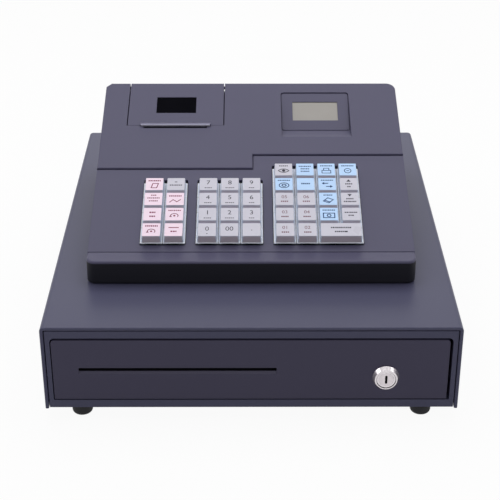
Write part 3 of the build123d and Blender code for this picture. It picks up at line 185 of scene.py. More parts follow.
def moulded(name, color, rough=0.45, grain_scale=2300.0):
    """Injection moulded plastic with a fine spark-eroded grain."""
    plastic = Shader(name, Specular_IOR_Level=0.2)
    grain = plastic.noise(grain_scale)
    flow = plastic.noise(scale=14.0)
    tone = plastic.mix(plastic.spread(grain, 0.0, 1.0), scaled(color, 0.95), scaled(color, 1.05))
    plastic.color(plastic.mix(plastic.spread(flow, 0.0, 0.3), tone, scaled(color, 1.04)))
    plastic.roughness(plastic.spread(grain, rough - 0.05, rough + 0.05))
    plastic.relief(grain, GRAIN_DEPTH, 0.3, MOULDED_EDGE)
    return plastic.material


def smooth_plastic(name, color, rough, shine=0.35):
    """Smooth moulding or flat print."""
    plastic = Shader(name, Specular_IOR_Level=shine)
    cloud = plastic.noise(scale=60.0, detail=3.0)
    plastic.color(plastic.mix(plastic.spread(cloud, 0.0, 1.0), scaled(color, 0.97), scaled(color, 1.03)))
    plastic.roughness(plastic.spread(cloud, rough - 0.03, rough + 0.03))
    plastic.relief(cloud, 0.02 * MM, 0.1)
    return plastic.material


def clear_plastic(name, tint):
    """Pale moulding of the key covers, which lets a little light through."""
    clear = Shader(name, IOR=1.46, Transmission_Weight=0.2, Specular_IOR_Level=0.4)
    haze = clear.noise(scale=90.0)
    clear.color(clear.mix(clear.spread(haze, 0.0, 1.0), scaled(tint, 0.94), tint))
    clear.roughness(clear.spread(haze, 0.12, 0.22))
    return clear.material


def metal(name, color, rough, brush=None, metallic=1.0):
    """Bare or plated metal, brushed along the axis where the stretch is small."""
    plate = Shader(name, Metallic=metallic)
    lines = plate.noise(scale=1.0 if brush else 300.0, detail=3.0, stretch=brush)
    plate.color(plate.mix(plate.spread(lines, 0.0, 1.0), scaled(color, 0.92), scaled(color, 1.04)))
    plate.roughness(plate.spread(lines, rough * 0.8, rough * 1.25))
    plate.relief(lines, 0.01 * MM, 0.25, METAL_EDGE)
    return plate.material


def rubber(name, color):
    """Matt rubber with a faint bloom."""
    soft = Shader(name, Specular_IOR_Level=0.3)
    bloom = soft.noise(scale=40.0, detail=4.0)
    skin = soft.noise(scale=1800.0)
    soft.color(soft.mix(soft.spread(bloom, 0.0, 1.0), color, scaled(color, 1.35)))
    soft.roughness(soft.spread(bloom, 0.62, 0.78))
    soft.relief(skin, 0.05 * MM, 0.35)
    return soft.material


def board_laminate(name, black_from_y):
    """Green circuit board; the sockets near the rear walls are black mouldings."""
    board = Shader(name, Specular_IOR_Level=0.5)
    tracks = board.noise(scale=260.0, detail=1.0)
    green = board.mix(board.above(tracks, 0.5), srgb(9, 24, 17), srgb(14, 36, 24))
    rear = board.above(board.axis("Y"), black_from_y)
    board.color(board.mix(rear, green, srgb(20, 20, 22)))
    board.roughness(board.spread(tracks, 0.3, 0.42))
    board.relief(tracks, 0.03 * MM, 0.2)
    return board.material


def smoked(name):
    """Dark glossy pane of the printer's window."""
    pane = Shader(name, IOR=1.03)
    film = pane.noise(scale=25.0)
    pane.color(pane.mix(pane.spread(film, 0.0, 1.0), srgb(5, 5, 10), srgb(9, 9, 15)))
    pane.roughness(pane.spread(film, 0.07, 0.11))
    return pane.material


def liquid_crystal(name):
    """Unlit reflective display: warm pale grey with a very fine segment mesh."""
    panel = Shader(name, Specular_IOR_Level=0.2)
    mesh = panel.noise(scale=1400.0, detail=1.0)
    cloud = panel.noise(scale=30.0)
    tone = panel.mix(panel.spread(cloud, 0.0, 1.0), srgb(152, 148, 143), srgb(157, 153, 149))
    panel.color(panel.mix(panel.spread(mesh, 0.0, 0.25), tone, srgb(141, 138, 135)))
    panel.roughness(panel.spread(cloud, 0.32, 0.4))
    return panel.material


case_paint = powder_coat("case_paint", srgb(71, 71, 94))
# a darker copy of the case paint for the drawer front: painted shade, as the front faces get less light than the
# top
front_paint_painted_shade = powder_coat("front_paint_painted_shade", srgb(63, 60, 81))
tub_paint = powder_coat("tub_paint", srgb(52, 52, 58))
shell_grey = moulded("shell_grey", srgb(74, 72, 95))
skirt_black = moulded("skirt_black", srgb(26, 26, 33), rough=0.5)
tray_black = moulded("tray_black", srgb(38, 38, 42), rough=0.55, grain_scale=1400.0)
foot_rubber = rubber("foot_rubber", srgb(24, 24, 27))
platen_rubber = rubber("platen_rubber", srgb(34, 34, 36))
roller_nylon = smooth_plastic("roller_nylon", srgb(222, 220, 210), rough=0.4)
# black plastic of the power switch, also used as painted shade in the lock's seam and keyhole and in the screws'
# cross recesses
switch_black_and_painted_shade = smooth_plastic("switch_black_and_painted_shade", srgb(22, 22, 24), rough=0.3)
mechanism_black = moulded("mechanism_black", srgb(44, 44, 48), rough=0.5)
chrome = metal("chrome", srgb(214, 208, 212), 0.12)
plug_steel = metal("plug_steel", srgb(208, 201, 205), 0.22)
zinc = metal("zinc", srgb(186, 186, 182), 0.32)
blade_brush = (40.0, 900.0, 900.0)
blade_steel = metal("blade_steel", srgb(122, 121, 138), 0.5, blade_brush)
# a paler, less metallic copy of the blade's steel for its front faces: a painted highlight
blade_front_painted_highlight = metal("blade_front_painted_highlight", srgb(198, 197, 208), 0.5, blade_brush, metallic=0.3)
gold = metal("contact_gold", srgb(206, 170, 96), 0.3)
window_smoke = smoked("window_smoke")
lcd_surface = liquid_crystal("lcd_surface")
key_base = smooth_plastic("key_base", srgb(196, 186, 196), rough=0.4)
key_clear = clear_plastic("key_clear", srgb(222, 231, 248))
# a paler copy of the clear plastic for the flanges' bevels and rims: a painted highlight
key_edge_painted_highlight = clear_plastic("key_edge_painted_highlight", srgb(242, 245, 252))
ink = smooth_plastic("key_ink", srgb(58, 56, 68), rough=0.5, shine=0.1)
ink_maroon = smooth_plastic("key_ink_maroon", srgb(126, 44, 80), rough=0.5, shine=0.1)
ink_navy = smooth_plastic("key_ink_navy", srgb(28, 62, 116), rough=0.5, shine=0.1)
ink_red = smooth_plastic("key_ink_red", srgb(112, 72, 84), rough=0.5, shine=0.1)
mark_white = smooth_plastic("mark_white", srgb(222, 222, 222), rough=0.5, shine=0.1)

key_caps = {
    "key_grey": smooth_plastic("key_grey", srgb(192, 190, 203), rough=0.3),
    "key_pink": smooth_plastic("key_pink", srgb(236, 213, 229), rough=0.3),
    "key_blue": smooth_plastic("key_blue", srgb(176, 207, 243), rough=0.3),
}

SOCKET_DEPTH = 24 * MM  # the sockets' black mouldings reach this far in from the rear
rear_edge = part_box("upper_case")[1].y
node_material = {
    "case_cover": case_paint,
    "case_chassis": case_paint,
    "rubber_feet": foot_rubber,
    "guide_rollers": roller_nylon,
    "drawer_front": front_paint_painted_shade,
    "drawer_tub": tub_paint,
    "drawer_rollers": roller_nylon,
    "lock_barrel": chrome,
    "lock_plug": plug_steel,
    "cash_tray": tray_black,
    "bill_clips": zinc,
    "drawer_latch": zinc,
    "base_tray": skirt_black,
    "upper_case": shell_grey,
    "lcd_panel": lcd_surface,
    "printer_mechanism": mechanism_black,
    "circuit_boards": board_laminate("board_laminate", rear_edge - SOCKET_DEPTH),
    "printer_cover": shell_grey,
    "printer_window": window_smoke,
    "platen_roller": platen_rubber,
    "power_switch": switch_black_and_painted_shade,
}
for node_name, material in node_material.items():
    mesh = nodes[node_name].data
    mesh.materials.clear()
    mesh.materials.append(material)

# ---------------------------------------------------------------- mesh helpers


SMOOTH_BELOW = math.radians(32)  # edges that turn less than this are shaded smooth
CORNER_STEPS = 4


def finish_piece(name, mesh_data, material, body, smooth=True):
    """Turns a bmesh into a scene object that rides on a body."""
    mesh = bpy.data.meshes.new(name)
    bmesh.ops.recalc_face_normals(mesh_data, faces=mesh_data.faces)
    mesh_data.to_mesh(mesh)
    mesh_data.free()
    mesh.materials.append(material)
    piece = bpy.data.objects.new(name, mesh)
    scene.collection.objects.link(piece)
    if smooth:
        mesh.shade_smooth()
        mesh.set_sharp_from_angle(angle=SMOOTH_BELOW)
    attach(piece, body)
    return piece


def rounded_loop(sides, radius, height, side_steps):
    """Points round a rectangle with round corners, given its left, right, front and rear."""
    left, right, front, rear = sides
    corners = [
        (right - radius, rear - radius, 0),
        (left + radius, rear - radius, 90),
        (left + radius, front + radius, 180),
        (right - radius, front + radius, 270),
    ]

    def on_corner(corner, turn):
        x, y, start = corner
        angle = math.radians(start + turn)
        return Vector((x + radius * math.cos(angle), y + radius * math.sin(angle), height))

    points = []
    for corner, following in zip(corners, corners[1:] + corners[:1]):
        points += [on_corner(corner, 90 * step / CORNER_STEPS) for step in range(CORNER_STEPS + 1)]
        last, target = points[-1], on_corner(following, 0)
        points += [last.lerp(target, step / side_steps) for step in range(1, side_steps)]
    return points


def loft_rings(mesh_data, rings, closed=False):
    """Skins a list of equal rings; closed joins the last to the first, else both ends get a face."""
    rows = [[mesh_data.verts.new(point) for point in ring] for ring in rings]
    pairs = list(zip(rows, rows[1:]))
    if closed:
        pairs.append((rows[-1], rows[0]))
    for low, high in pairs:
        count = len(low)
        for i in range(count):
            j = (i + 1) % count
            mesh_data.faces.new((low[i], low[j], high[j], high[i]))
    if not closed:
        mesh_data.faces.new(list(reversed(rows[0])))
        mesh_data.faces.new(rows[-1])


def prism(mesh_data, outline, low, high, along="x"):
    """Closed prism of a 2D outline between two places along x or z."""

    def spot(u, v, w):
        return {"x": (w, u, v), "z": (u, v, w)}[along]

    first = [mesh_data.verts.new(spot(u, v, low)) for u, v in outline]
    last = [mesh_data.verts.new(spot(u, v, high)) for u, v in outline]
    count = len(outline)
    for i in range(count):
        j = (i + 1) % count
        mesh_data.faces.new((first[i], first[j], last[j], last[i]))
    mesh_data.faces.new(first)
    mesh_data.faces.new(last)


def turned(mesh_data, profile, steps):
    """Turns (radius, height) points round +Z and returns the new corners; a zero radius closes it."""
    turn = [math.tau * i / steps for i in range(steps)]
    rings = []
    for radius, height in profile:
        around = [(radius * math.cos(a), radius * math.sin(a), height) for a in turn]
        rings.append([mesh_data.verts.new(point) for point in (around if radius > 0 else [(0, 0, height)])])
    for low, high in zip(rings, rings[1:]):
        for i in range(steps):
            j = (i + 1) % steps
            corners = [low[i % len(low)], low[j % len(low)], high[j % len(high)], high[i % len(high)]]
            unique = list(dict.fromkeys(corners))
            if len(unique) > 2:
                mesh_data.faces.new(unique)
    return [corner for ring in rings for corner in ring]


def stand(mesh_data, place, normal):
    """Moves a bmesh made at the origin to a place, with its +Z turned to a normal."""
    turn = Vector((0, 0, 1)).rotation_difference(Vector(normal)).to_matrix().to_4x4()
    bmesh.ops.transform(mesh_data, matrix=Matrix.Translation(place) @ turn, verts=mesh_data.verts)


# ---------------------------------------------------------------- the key deck's own axes
first_key = "key_left_row1_1"
deck_normal = -Vector(joint_of[first_key]["axis"]).normalized()
deck_x = Vector((1, 0, 0))
deck_up = deck_normal.cross(deck_x)
to_deck = Matrix((deck_x, deck_up, deck_normal))
from_deck = to_deck.transposed()


def deck_extent(node):
    """Lowest and highest corners of a node along the deck's own axes."""
    points = [to_deck @ vertex.co for vertex in nodes[node].data.vertices]
    low = Vector([min(point[i] for point in points) for i in range(3)])
    high = Vector([max(point[i] for point in points) for i in range(3)])
    return low, high


def to_world(mesh_data):
    """Turns a bmesh made in the deck's axes into the model's frame."""
    bmesh.ops.transform(mesh_data, matrix=from_deck.to_4x4(), verts=mesh_data.verts)


# ---------------------------------------------------------------- keys
KEY_HEIGHT = 8.9 * MM  # from the underside of the flange to the top of the cap
KEY_FLANGE = 1.4 * MM
KEY_LEDGE = 0.7 * MM  # from the edge of the flange to the foot of the cap
KEY_INSETS = (1.35 * MM, 1.35 * MM, 1.05 * MM, 1.45 * MM)  # flange to cap top: left, right, front, rear
REACH_INSIDE = 0.35 * MM  # the cover's flange stands out past the key's own towards the next key
REACH_OUTSIDE = (0.8 * MM, 0.0)  # and at the sides and ends of a block
FLANGE_BEVEL = 0.5 * MM
FLANGE_RIM = 0.65 * MM  # width of the edge that carries the painted highlight, bevel included
FLANGE_CORNER = 0.3 * MM
CAP_CORNER = 0.5 * MM
CAP_BEVEL = 0.3 * MM  # from the top down to where the cover's walls turn in
CAP_RIM_DROP = 0.06 * MM  # the cover's rim lies this far below the coloured plate
CAP_RIM = (0.12 * MM, 0.35 * MM)  # outer and inner edge of that rim, in from the cap's outline
COVER_WALL = 0.9 * MM
SCALLOP = 0.5 * MM
SCALLOP_END = 1.5 * MM  # from a corner of the flange to the start of its arch
LABEL_THICKNESS = 0.5 * MM
LABEL_EDGE = (  # the coloured plate's edge: down from its top, and in from the cap's outline
    (LABEL_THICKNESS, 0.3 * MM),
    (0.12 * MM, 0.05 * MM),
    (0.03 * MM, 0.1 * MM),
    (0.0, 0.25 * MM),
    (0.0, 0.6 * MM),
)
CORE_SIDE = 0.6 * MM  # clear wall left on each side of the grey core's front
CORE_PROUD = 0.04 * MM  # the core's front stands this far out of the cover
CORE_LIFT = 0.1 * MM  # from the flange to the underside of the core
CORE_CORNER = 0.3 * MM
STEM_HALF = 3.0 * MM
STEM_OVERLAP = 0.2 * MM  # the plunger ends this far above the flange, inside the core
TOUCH = 0.01 * MM  # points nearer than this lie on the same face
SAME_CORNER = 0.1 * MM  # keys that end nearer than this end at the same edge of a block
SIDE_PIECE = 2 * MM  # the sides of a key's outline have a point about this often
LEAST_PIECES = 8


class KeySite:
    """Where one key stands, in the deck's own axes, and the outlines of its cap."""

    def __init__(self, node, block_low, block_high):
        self.node = node
        self.low, self.high = deck_extent(node)
        self.mid = (self.low + self.high) / 2
        self.base = self.high.z - KEY_HEIGHT
        self.steps = max(LEAST_PIECES, round((self.high.x - self.low.x) / SIDE_PIECE))
        self.reach = [
            REACH_OUTSIDE[axis] if abs(corner[axis] - block_corner[axis]) < SAME_CORNER else REACH_INSIDE
            for axis in (0, 1)
            for corner, block_corner in ((self.low, block_low), (self.high, block_high))
        ]

    def outline(self, height, insets, radius=CAP_CORNER):
        """Rounded outline at a height above the flange's underside, drawn in from the flange's edges."""
        left, right, front, rear = insets
        sides = (self.low.x + left, self.high.x - right, self.low.y + front, self.high.y - rear)
        return rounded_loop(sides, radius, self.base + height, self.steps)

    def wall(self, height, extra=(0.0, 0.0, 0.0, 0.0), radius=CAP_CORNER):
        """Outline of the cap's tapered walls at a height, drawn in further by extra."""
        share = max(0.0, (height - KEY_FLANGE) / (KEY_HEIGHT - KEY_FLANGE))
        insets = [KEY_LEDGE + (inset - KEY_LEDGE) * share + more for inset, more in zip(KEY_INSETS, extra)]
        return self.outline(height, insets, radius)

    def flange(self, height, inset=0.0):
        """Outline of the cover's flange."""
        return self.outline(height, [inset - reach for reach in self.reach], FLANGE_CORNER)

    def arched(self, ring):
        """Lifts a lower edge into a shallow arch in its front and rear."""
        half = (self.high.x - self.low.x) / 2 - SCALLOP_END
        front = min(point.y for point in ring)
        rear = max(point.y for point in ring)
        for point in ring:
            offset = (point.x - self.mid.x) / half
            if abs(offset) < 1 and min(point.y - front, rear - point.y) < TOUCH:
                point.z += SCALLOP * (1 - offset * offset)
        return ring


def key_cover(site):
    """Clear cover: a flange with an arched lower edge and crisp tapered walls, open below."""
    mesh_data = bmesh.new()
    rings = [
        site.arched(site.flange(0.0)),
        site.flange(KEY_FLANGE - FLANGE_BEVEL),
        site.flange(KEY_FLANGE, FLANGE_BEVEL),
        site.flange(KEY_FLANGE, FLANGE_RIM),
        site.wall(KEY_FLANGE),
        site.wall(KEY_HEIGHT / 2),
        site.wall(KEY_HEIGHT - CAP_BEVEL),
        site.wall(KEY_HEIGHT - CAP_RIM_DROP, (CAP_RIM[0],) * 4),
        site.wall(KEY_HEIGHT - CAP_RIM_DROP, (CAP_RIM[1],) * 4),
        site.wall(KEY_HEIGHT - LABEL_THICKNESS, (COVER_WALL,) * 4),
        site.wall(KEY_FLANGE, (COVER_WALL,) * 4),
        site.arched(site.outline(0.0, (KEY_LEDGE + COVER_WALL,) * 4)),
    ]
    loft_rings(mesh_data, rings, closed=True)
    around = len(rings[0])
    # the flange's bevel and rim get the paler copy of the clear plastic, a painted highlight on its edge
    bevel_and_rim_painted_highlight = list(mesh_data.faces)[around : 3 * around]
    for face in bevel_and_rim_painted_highlight:
        face.material_index = 1
    to_world(mesh_data)
    cover = finish_piece(site.node + "_cover", mesh_data, key_clear, site.node)
    cover.data.materials.append(key_edge_painted_highlight)
    return cover


def key_core(site):
    """Grey core inside the cover, whose front shows between the clear edges, with its plunger."""
    extra = (CORE_SIDE, CORE_SIDE, -CORE_PROUD, COVER_WALL)
    mesh_data = bmesh.new()
    heights = (KEY_FLANGE + CORE_LIFT, KEY_HEIGHT / 2, KEY_HEIGHT - LABEL_THICKNESS)
    rings = [site.wall(height, extra, CORE_CORNER) for height in heights]
    loft_rings(mesh_data, rings)
    corners = ((-1, -1), (1, -1), (1, 1), (-1, 1))
    square = [(site.mid.x + STEM_HALF * i, site.mid.y + STEM_HALF * j) for i, j in corners]
    prism(mesh_data, square, site.low.z, site.base + KEY_FLANGE + STEM_OVERLAP, along="z")
    to_world(mesh_data)
    finish_piece(site.node + "_stem", mesh_data, key_base, site.node)


def key_label(site):
    """Coloured top plate, with a fine round edge."""
    slot = slot_of[site.node]
    mesh_data = bmesh.new()
    rings = [site.wall(KEY_HEIGHT - drop, (inset,) * 4) for drop, inset in LABEL_EDGE]
    loft_rings(mesh_data, rings)
    to_world(mesh_data)
    finish_piece(site.node + "_label", mesh_data, key_caps[slot], site.node)


# Legends are drawn in millimetres from the middle of a cap, x to the right and y up the slope.
PRINT_HEIGHT = 1.3
DASH_GAP = 0.42
NUMERAL = 7.4
SMALL_NUMERAL = 5.4
PRINT_SUNK = 0.02 * MM  # the print starts this far inside the plate
PRINT_PROUD = 0.03 * MM


def band(points, width, closed=False):
    """Flat strokes along a path, as quads."""
    quads = []
    path = points + points[:1] if closed else points
    for (x0, y0), (x1, y1) in zip(path, path[1:]):
        length = math.hypot(x1 - x0, y1 - y0)
        if length == 0:
            continue
        along_x = (x1 - x0) / length * width / 2
        along_y = (y1 - y0) / length * width / 2
        a = (x0 - along_x - along_y, y0 - along_y + along_x)
        b = (x0 - along_x + along_y, y0 - along_y - along_x)
        c = (x1 + along_x + along_y, y1 + along_y - along_x)
        d = (x1 + along_x - along_y, y1 + along_y + along_x)
        quads.append([a, b, c, d])
    return quads


def arc(cx, cy, radius, start, end, steps=18, squash=1.0):
    """Points along part of an ellipse."""
    turn = [math.radians(start + (end - start) * i / steps) for i in range(steps + 1)]
    return [(cx + radius * math.cos(a), cy + radius * squash * math.sin(a)) for a in turn]


def dashes(y, lengths, width=PRINT_HEIGHT):
    """A centred row of short bars, where small print would be."""
    total = sum(lengths) + DASH_GAP * (len(lengths) - 1)
    x = -total / 2
    quads = []
    low, high = y - width / 2, y + width / 2
    for length in lengths:
        quads.append([(x, low), (x + length, low), (x + length, high), (x, high)])
        x += length + DASH_GAP
    return quads


def digits(text, size, y):
    """Plain numerals as flat polygons, centred at a height on the cap."""
    curve = bpy.data.curves.new("numeral", "FONT")
    curve.body = text
    curve.size = size
    curve.align_x = "CENTER"
    curve.align_y = "CENTER"
    curve.resolution_u = 3
    holder = bpy.data.objects.new("numeral", curve)
    mesh = bpy.data.meshes.new_from_object(holder)
    points = [(vertex.co.x, vertex.co.y + y) for vertex in mesh.vertices]
    shapes = [[points[i] for i in face.vertices] for face in mesh.polygons]
    bpy.data.objects.remove(holder)
    bpy.data.curves.remove(curve)
    bpy.data.meshes.remove(mesh)
    return shapes


# Lengths of the bars that stand for short and long words.
SMALL = [1.3, 1.4, 1.3, 1.2]
WORD = [1.3, 1.0, 1.6, 1.3, 1.1]
LONG = [1.2, 1.4, 0.9, 1.5, 1.2, 1.4, 1.0]


def return_arrow():
    """Round arrow with a dot in the middle."""
    ring = band(arc(0, -2.0, 3.3, -30, 200, squash=0.8), 0.7)
    tip = [[(-4.6, -3.6), (-2.0, -3.6), (-3.3, -1.7)]]
    dot = [arc(0, -2.1, 1.0, 0, 330, steps=11)]
    return ring + tip + dot


def legends():
    """Legend of each key: its flat shapes and its ink."""
    drawn = {}

    def put(block, row, column, shapes, color=ink):
        drawn[f"key_{block}_row{row}_{column}"] = (shapes, color)

    for row, text in ((4, "789"), (3, "456"), (2, "123")):
        for column, numeral in enumerate(text, 1):
            under = dashes(-5.0, WORD[: 3 + column % 3], 0.9)
            put("middle", row, column, digits(numeral, NUMERAL, 1.8) + under)
    put("middle", 1, 1, digits("0", NUMERAL, 0.9) + dashes(-5.0, [0.9], 0.9))
    put("middle", 1, 2, digits("00", NUMERAL, 0.9))
    put("middle", 1, 3, [arc(0, -0.6, 0.5, 0, 330, steps=11)])

    departments = iter(range(1, 7))
    for row in (1, 2, 3):
        for column in (1, 2):
            number = digits(f"{next(departments):02d}", SMALL_NUMERAL, 2.4)
            put("right", row, column, number + dashes(-3.2, SMALL, 1.5), ink_red)
    put("right", 1, 3, dashes(2.4, LONG + LONG[:4], 1.6) + dashes(-2.6, WORD + [2.8], 1.6))
    put("right", 2, 4, dashes(2.0, LONG, 1.4) + dashes(-1.8, WORD[:3], 1.4))
    arrow_up = [[(-2.0, 3.0), (2.0, 3.0), (0, 6.0)]]
    arrow_down = [[(-2.0, 6.0), (2.0, 6.0), (0, 3.0)]]
    put("right", 4, 4, arrow_up + dashes(0.0, SMALL, 1.5) + dashes(-3.6, SMALL[:2], 1.5))
    put("right", 3, 4, arrow_down + dashes(0.0, SMALL, 1.5) + dashes(-3.6, LONG, 1.5))
    eye = band(arc(0, -5.6, 6.2, 40, 140), 0.8) + band(arc(0, 2.3, 6.2, 220, 320), 0.8)
    put("right", 5, 1, eye + [arc(0, -1.6, 1.6, 0, 330, steps=11)] + dashes(4.8, WORD))
    put("right", 5, 2, dashes(4.2, LONG) + dashes(0.8, LONG[:5]) + dashes(-2.6, WORD), ink_navy)
    printer = band([(-4.0, -5.0), (-4.0, -1.4), (4.0, -1.4), (4.0, -5.0)], 0.7, closed=True)
    paper = band([(-2.4, -1.4), (-2.4, 1.6), (2.4, 1.6), (2.4, -1.4)], 0.7)
    put("right", 5, 3, printer + paper + dashes(4.8, LONG), ink_navy)
    hoop = band(arc(0, -1.8, 3.0, 0, 360), 0.7)
    put("right", 5, 4, hoop + dashes(-1.8, [2.4], 0.8) + dashes(4.8, LONG), ink_navy)
    coin = band(arc(0, -1.8, 4.4, 0, 360, squash=0.74), 0.8)
    coin += band(arc(0, -1.8, 1.8, 0, 360, squash=0.8), 0.9)
    put("right", 4, 1, coin + dashes(4.8, LONG), ink_navy)
    put("right", 4, 2, dashes(0.4, LONG[:5], 1.7), ink_navy)
    swap_left = [[(-5.0, 0.8), (-2.6, 2.5), (-2.6, -0.9)]] + band([(-2.8, 0.8), (0.6, 0.8)], 1.0)
    swap_right = [[(5.0, -3.4), (2.6, -1.7), (2.6, -5.1)]] + band([(2.8, -3.4), (-0.6, -3.4)], 1.0)
    put("right", 4, 3, swap_left + swap_right + dashes(4.9, LONG), ink_navy)
    card = band([(-4.4, -3.0), (0.4, -5.4), (4.6, -1.2), (-0.2, 1.2)], 0.8, closed=True)
    put("right", 3, 3, card + band([(-3.2, -1.9), (1.6, -4.3)], 1.1) + dashes(4.8, WORD), ink_navy)
    note = band([(-5.0, -4.8), (-5.0, 1.0), (5.0, 1.0), (5.0, -4.8)], 0.9, closed=True)
    put("right", 2, 3, note + band(arc(0, -1.9, 1.6, 0, 360), 0.8) + dashes(4.9, LONG), ink_navy)

    slip = band([(-2.8, -5.0), (-1.4, 0.8), (3.6, 0.8), (2.2, -5.0)], 0.8, closed=True)
    put("left", 4, 1, slip + dashes(4.4, LONG, 1.5), ink_maroon)
    put("left", 4, 2, dashes(2.8, [2.2], 0.9) + dashes(-1.4, LONG, 1.3))
    put("left", 3, 1, dashes(4.8, WORD[:3]) + dashes(1.2, LONG) + dashes(-2.6, WORD), ink_maroon)
    wave = band([(-4.8, -4.2), (-1.8, -1.0), (1.6, -3.8), (4.8, -0.8)], 0.8)
    put("left", 3, 2, wave + dashes(3.8, LONG, 1.5), ink_maroon)
    put("left", 2, 1, dashes(2.2, [1.7, 1.7, 1.1], 1.7) + dashes(-2.8, [1.4, 1.8, 1.1], 1.7), ink_maroon)
    put("left", 2, 2, return_arrow() + dashes(4.6, LONG), ink_maroon)
    put("left", 1, 1, return_arrow() + dashes(4.6, LONG, 1.6), ink_maroon)
    put("left", 1, 2, dashes(2.6, [9.0], 1.0) + dashes(-2.2, [1.7, 1.7, 1.1], 1.6), ink_maroon)
    return drawn


def key_legend(site, shapes, color):
    """Printed shapes, a hair above the coloured plate."""
    front, rear = KEY_INSETS[2:]
    center = site.mid + Vector((0, (front - rear) / 2, 0))
    top = site.high.z
    mesh_data = bmesh.new()
    for shape in shapes:
        outline = [(center.x + x * MM, center.y + y * MM) for x, y in shape]
        prism(mesh_data, outline, top - PRINT_SUNK, top + PRINT_PROUD, along="z")
    to_world(mesh_data)
    finish_piece(site.node + "_legend", mesh_data, color, site.node, smooth=False)


drawn_legends = legends()
for block in ("left", "middle", "right"):
    block_keys = [name for name in nodes if name.startswith(f"key_{block}_")]
    extents = [deck_extent(name) for name in block_keys]
    block_low = [min(low[axis] for low, high in extents) for axis in (0, 1)]
    block_high = [max(high[axis] for low, high in extents) for axis in (0, 1)]
    for key in block_keys:
        site = KeySite(key, block_low, block_high)
        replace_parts(key_cover(site), key)
        key_core(site)
        key_label(site)
        if key in drawn_legends:
            key_legend(site, *drawn_legends[key])

# ---------------------------------------------------------------- printer: steel tear blade
BLADE_LENGTH = 66.4 * MM
BLADE_SHEET = 0.12 * MM
BLADE_DEPTH = 1.2 * MM  # how far its top reaches back over the bar
BLADE_DROP = 1.85 * MM  # from its top down to the roots of its teeth
BLADE_CHAMFER = 0.2 * MM
BLADE_TOOTH = 1.1 * MM  # pitch of the teeth
BLADE_TOOTH_HEIGHT = 0.25 * MM


def tear_blade():
    """Folded steel strip on the tear bar: a flat top, a front made paler and less metallic as a painted highlight,
    and a row of teeth below it.
    """
    low, high = deck_extent("printer_cover")
    left = (low.x + high.x) / 2 - BLADE_LENGTH / 2
    front = low.y - BLADE_SHEET
    top = high.z + BLADE_SHEET
    edge = top - BLADE_DROP
    mesh_data = bmesh.new()
    fold = [
        (front + BLADE_CHAMFER, top),
        (low.y + BLADE_DEPTH, top),
        (low.y + BLADE_DEPTH, high.z),
        (low.y, high.z),
        (low.y, edge),
        (front, edge),
        (front, top - BLADE_CHAMFER),
    ]
    prism(mesh_data, fold, left, left + BLADE_LENGTH)
    count = round(BLADE_LENGTH / BLADE_TOOTH)
    pitch = BLADE_LENGTH / count
    for i in range(count):
        x = left + i * pitch
        tooth = [(x, edge), (x + pitch, edge), (x + pitch / 2, edge - BLADE_TOOTH_HEIGHT)]
        first = [mesh_data.verts.new((u, front, v)) for u, v in tooth]
        last = [mesh_data.verts.new((u, low.y, v)) for u, v in tooth]
        mesh_data.faces.new(first)
        mesh_data.faces.new(last)
        for a, b in ((0, 1), (1, 2), (2, 0)):
            mesh_data.faces.new((first[a], first[b], last[b], last[a]))
    # the front faces get the paler steel, a painted highlight
    for face in mesh_data.faces:
        if all(abs(vertex.co.y - front) < TOUCH for vertex in face.verts):
            face.material_index = 1
    to_world(mesh_data)
    blade = finish_piece(
        "tear_blade", mesh_data, blade_steel, "printer_cover", smooth=False
    )
    blade.data.materials.append(blade_front_painted_highlight)


tear_blade()

# ---------------------------------------------------------------- lock and feet
# a black ring between these radii, just proud of the lock's sunk face, is painted shade in the seam round it
SEAM_RADII = (7.8 * MM, 8.15 * MM)
SEAM_RISE = 0.2 * MM
RIM_DEPTH = 0.8 * MM  # from the front of the lock's rim to its sunk face
KEYHOLE_HALF = (1.1 * MM, 4.1 * MM)
KEYHOLE_DEPTHS = (0.05 * MM, 7 * MM)  # its inner faces lie between these, behind the sunk face
FOOT_RADIUS = 8.85 * MM
FOOT_DOME = (2.2 * MM, 3.0 * MM)  # how far the lower edge is rounded, inwards and upwards
FOOT_DOME_STEPS = 6


def lock_details():
    """Black ring in the seam round the lock's face and black inside its keyhole, both painted shade."""
    low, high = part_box("lock_barrel")
    center = Vector(((low.x + high.x) / 2, low.y + RIM_DEPTH, (low.z + high.z) / 2))
    inner, outer = SEAM_RADII
    profile = [(inner, 0), (outer, 0), (outer, SEAM_RISE), (inner, SEAM_RISE), (inner, 0)]
    seam = bmesh.new()
    turned(seam, profile, steps=64)
    bmesh.ops.remove_doubles(seam, verts=seam.verts, dist=1e-7)
    stand(seam, center, (0, -1, 0))
    finish_piece("lock_seam_painted_shade", seam, switch_black_and_painted_shade, "drawer")
    mesh = nodes["lock_plug"].data
    # the keyhole's inner faces get the black as painted shade
    mesh.materials.append(switch_black_and_painted_shade)
    nearest, deepest = KEYHOLE_DEPTHS
    for face in mesh.polygons:
        offset = face.center - center
        in_keyhole = abs(offset.x) < KEYHOLE_HALF[0] and abs(offset.z) < KEYHOLE_HALF[1]
        if in_keyhole and nearest < offset.y < deepest:
            face.material_index = 1


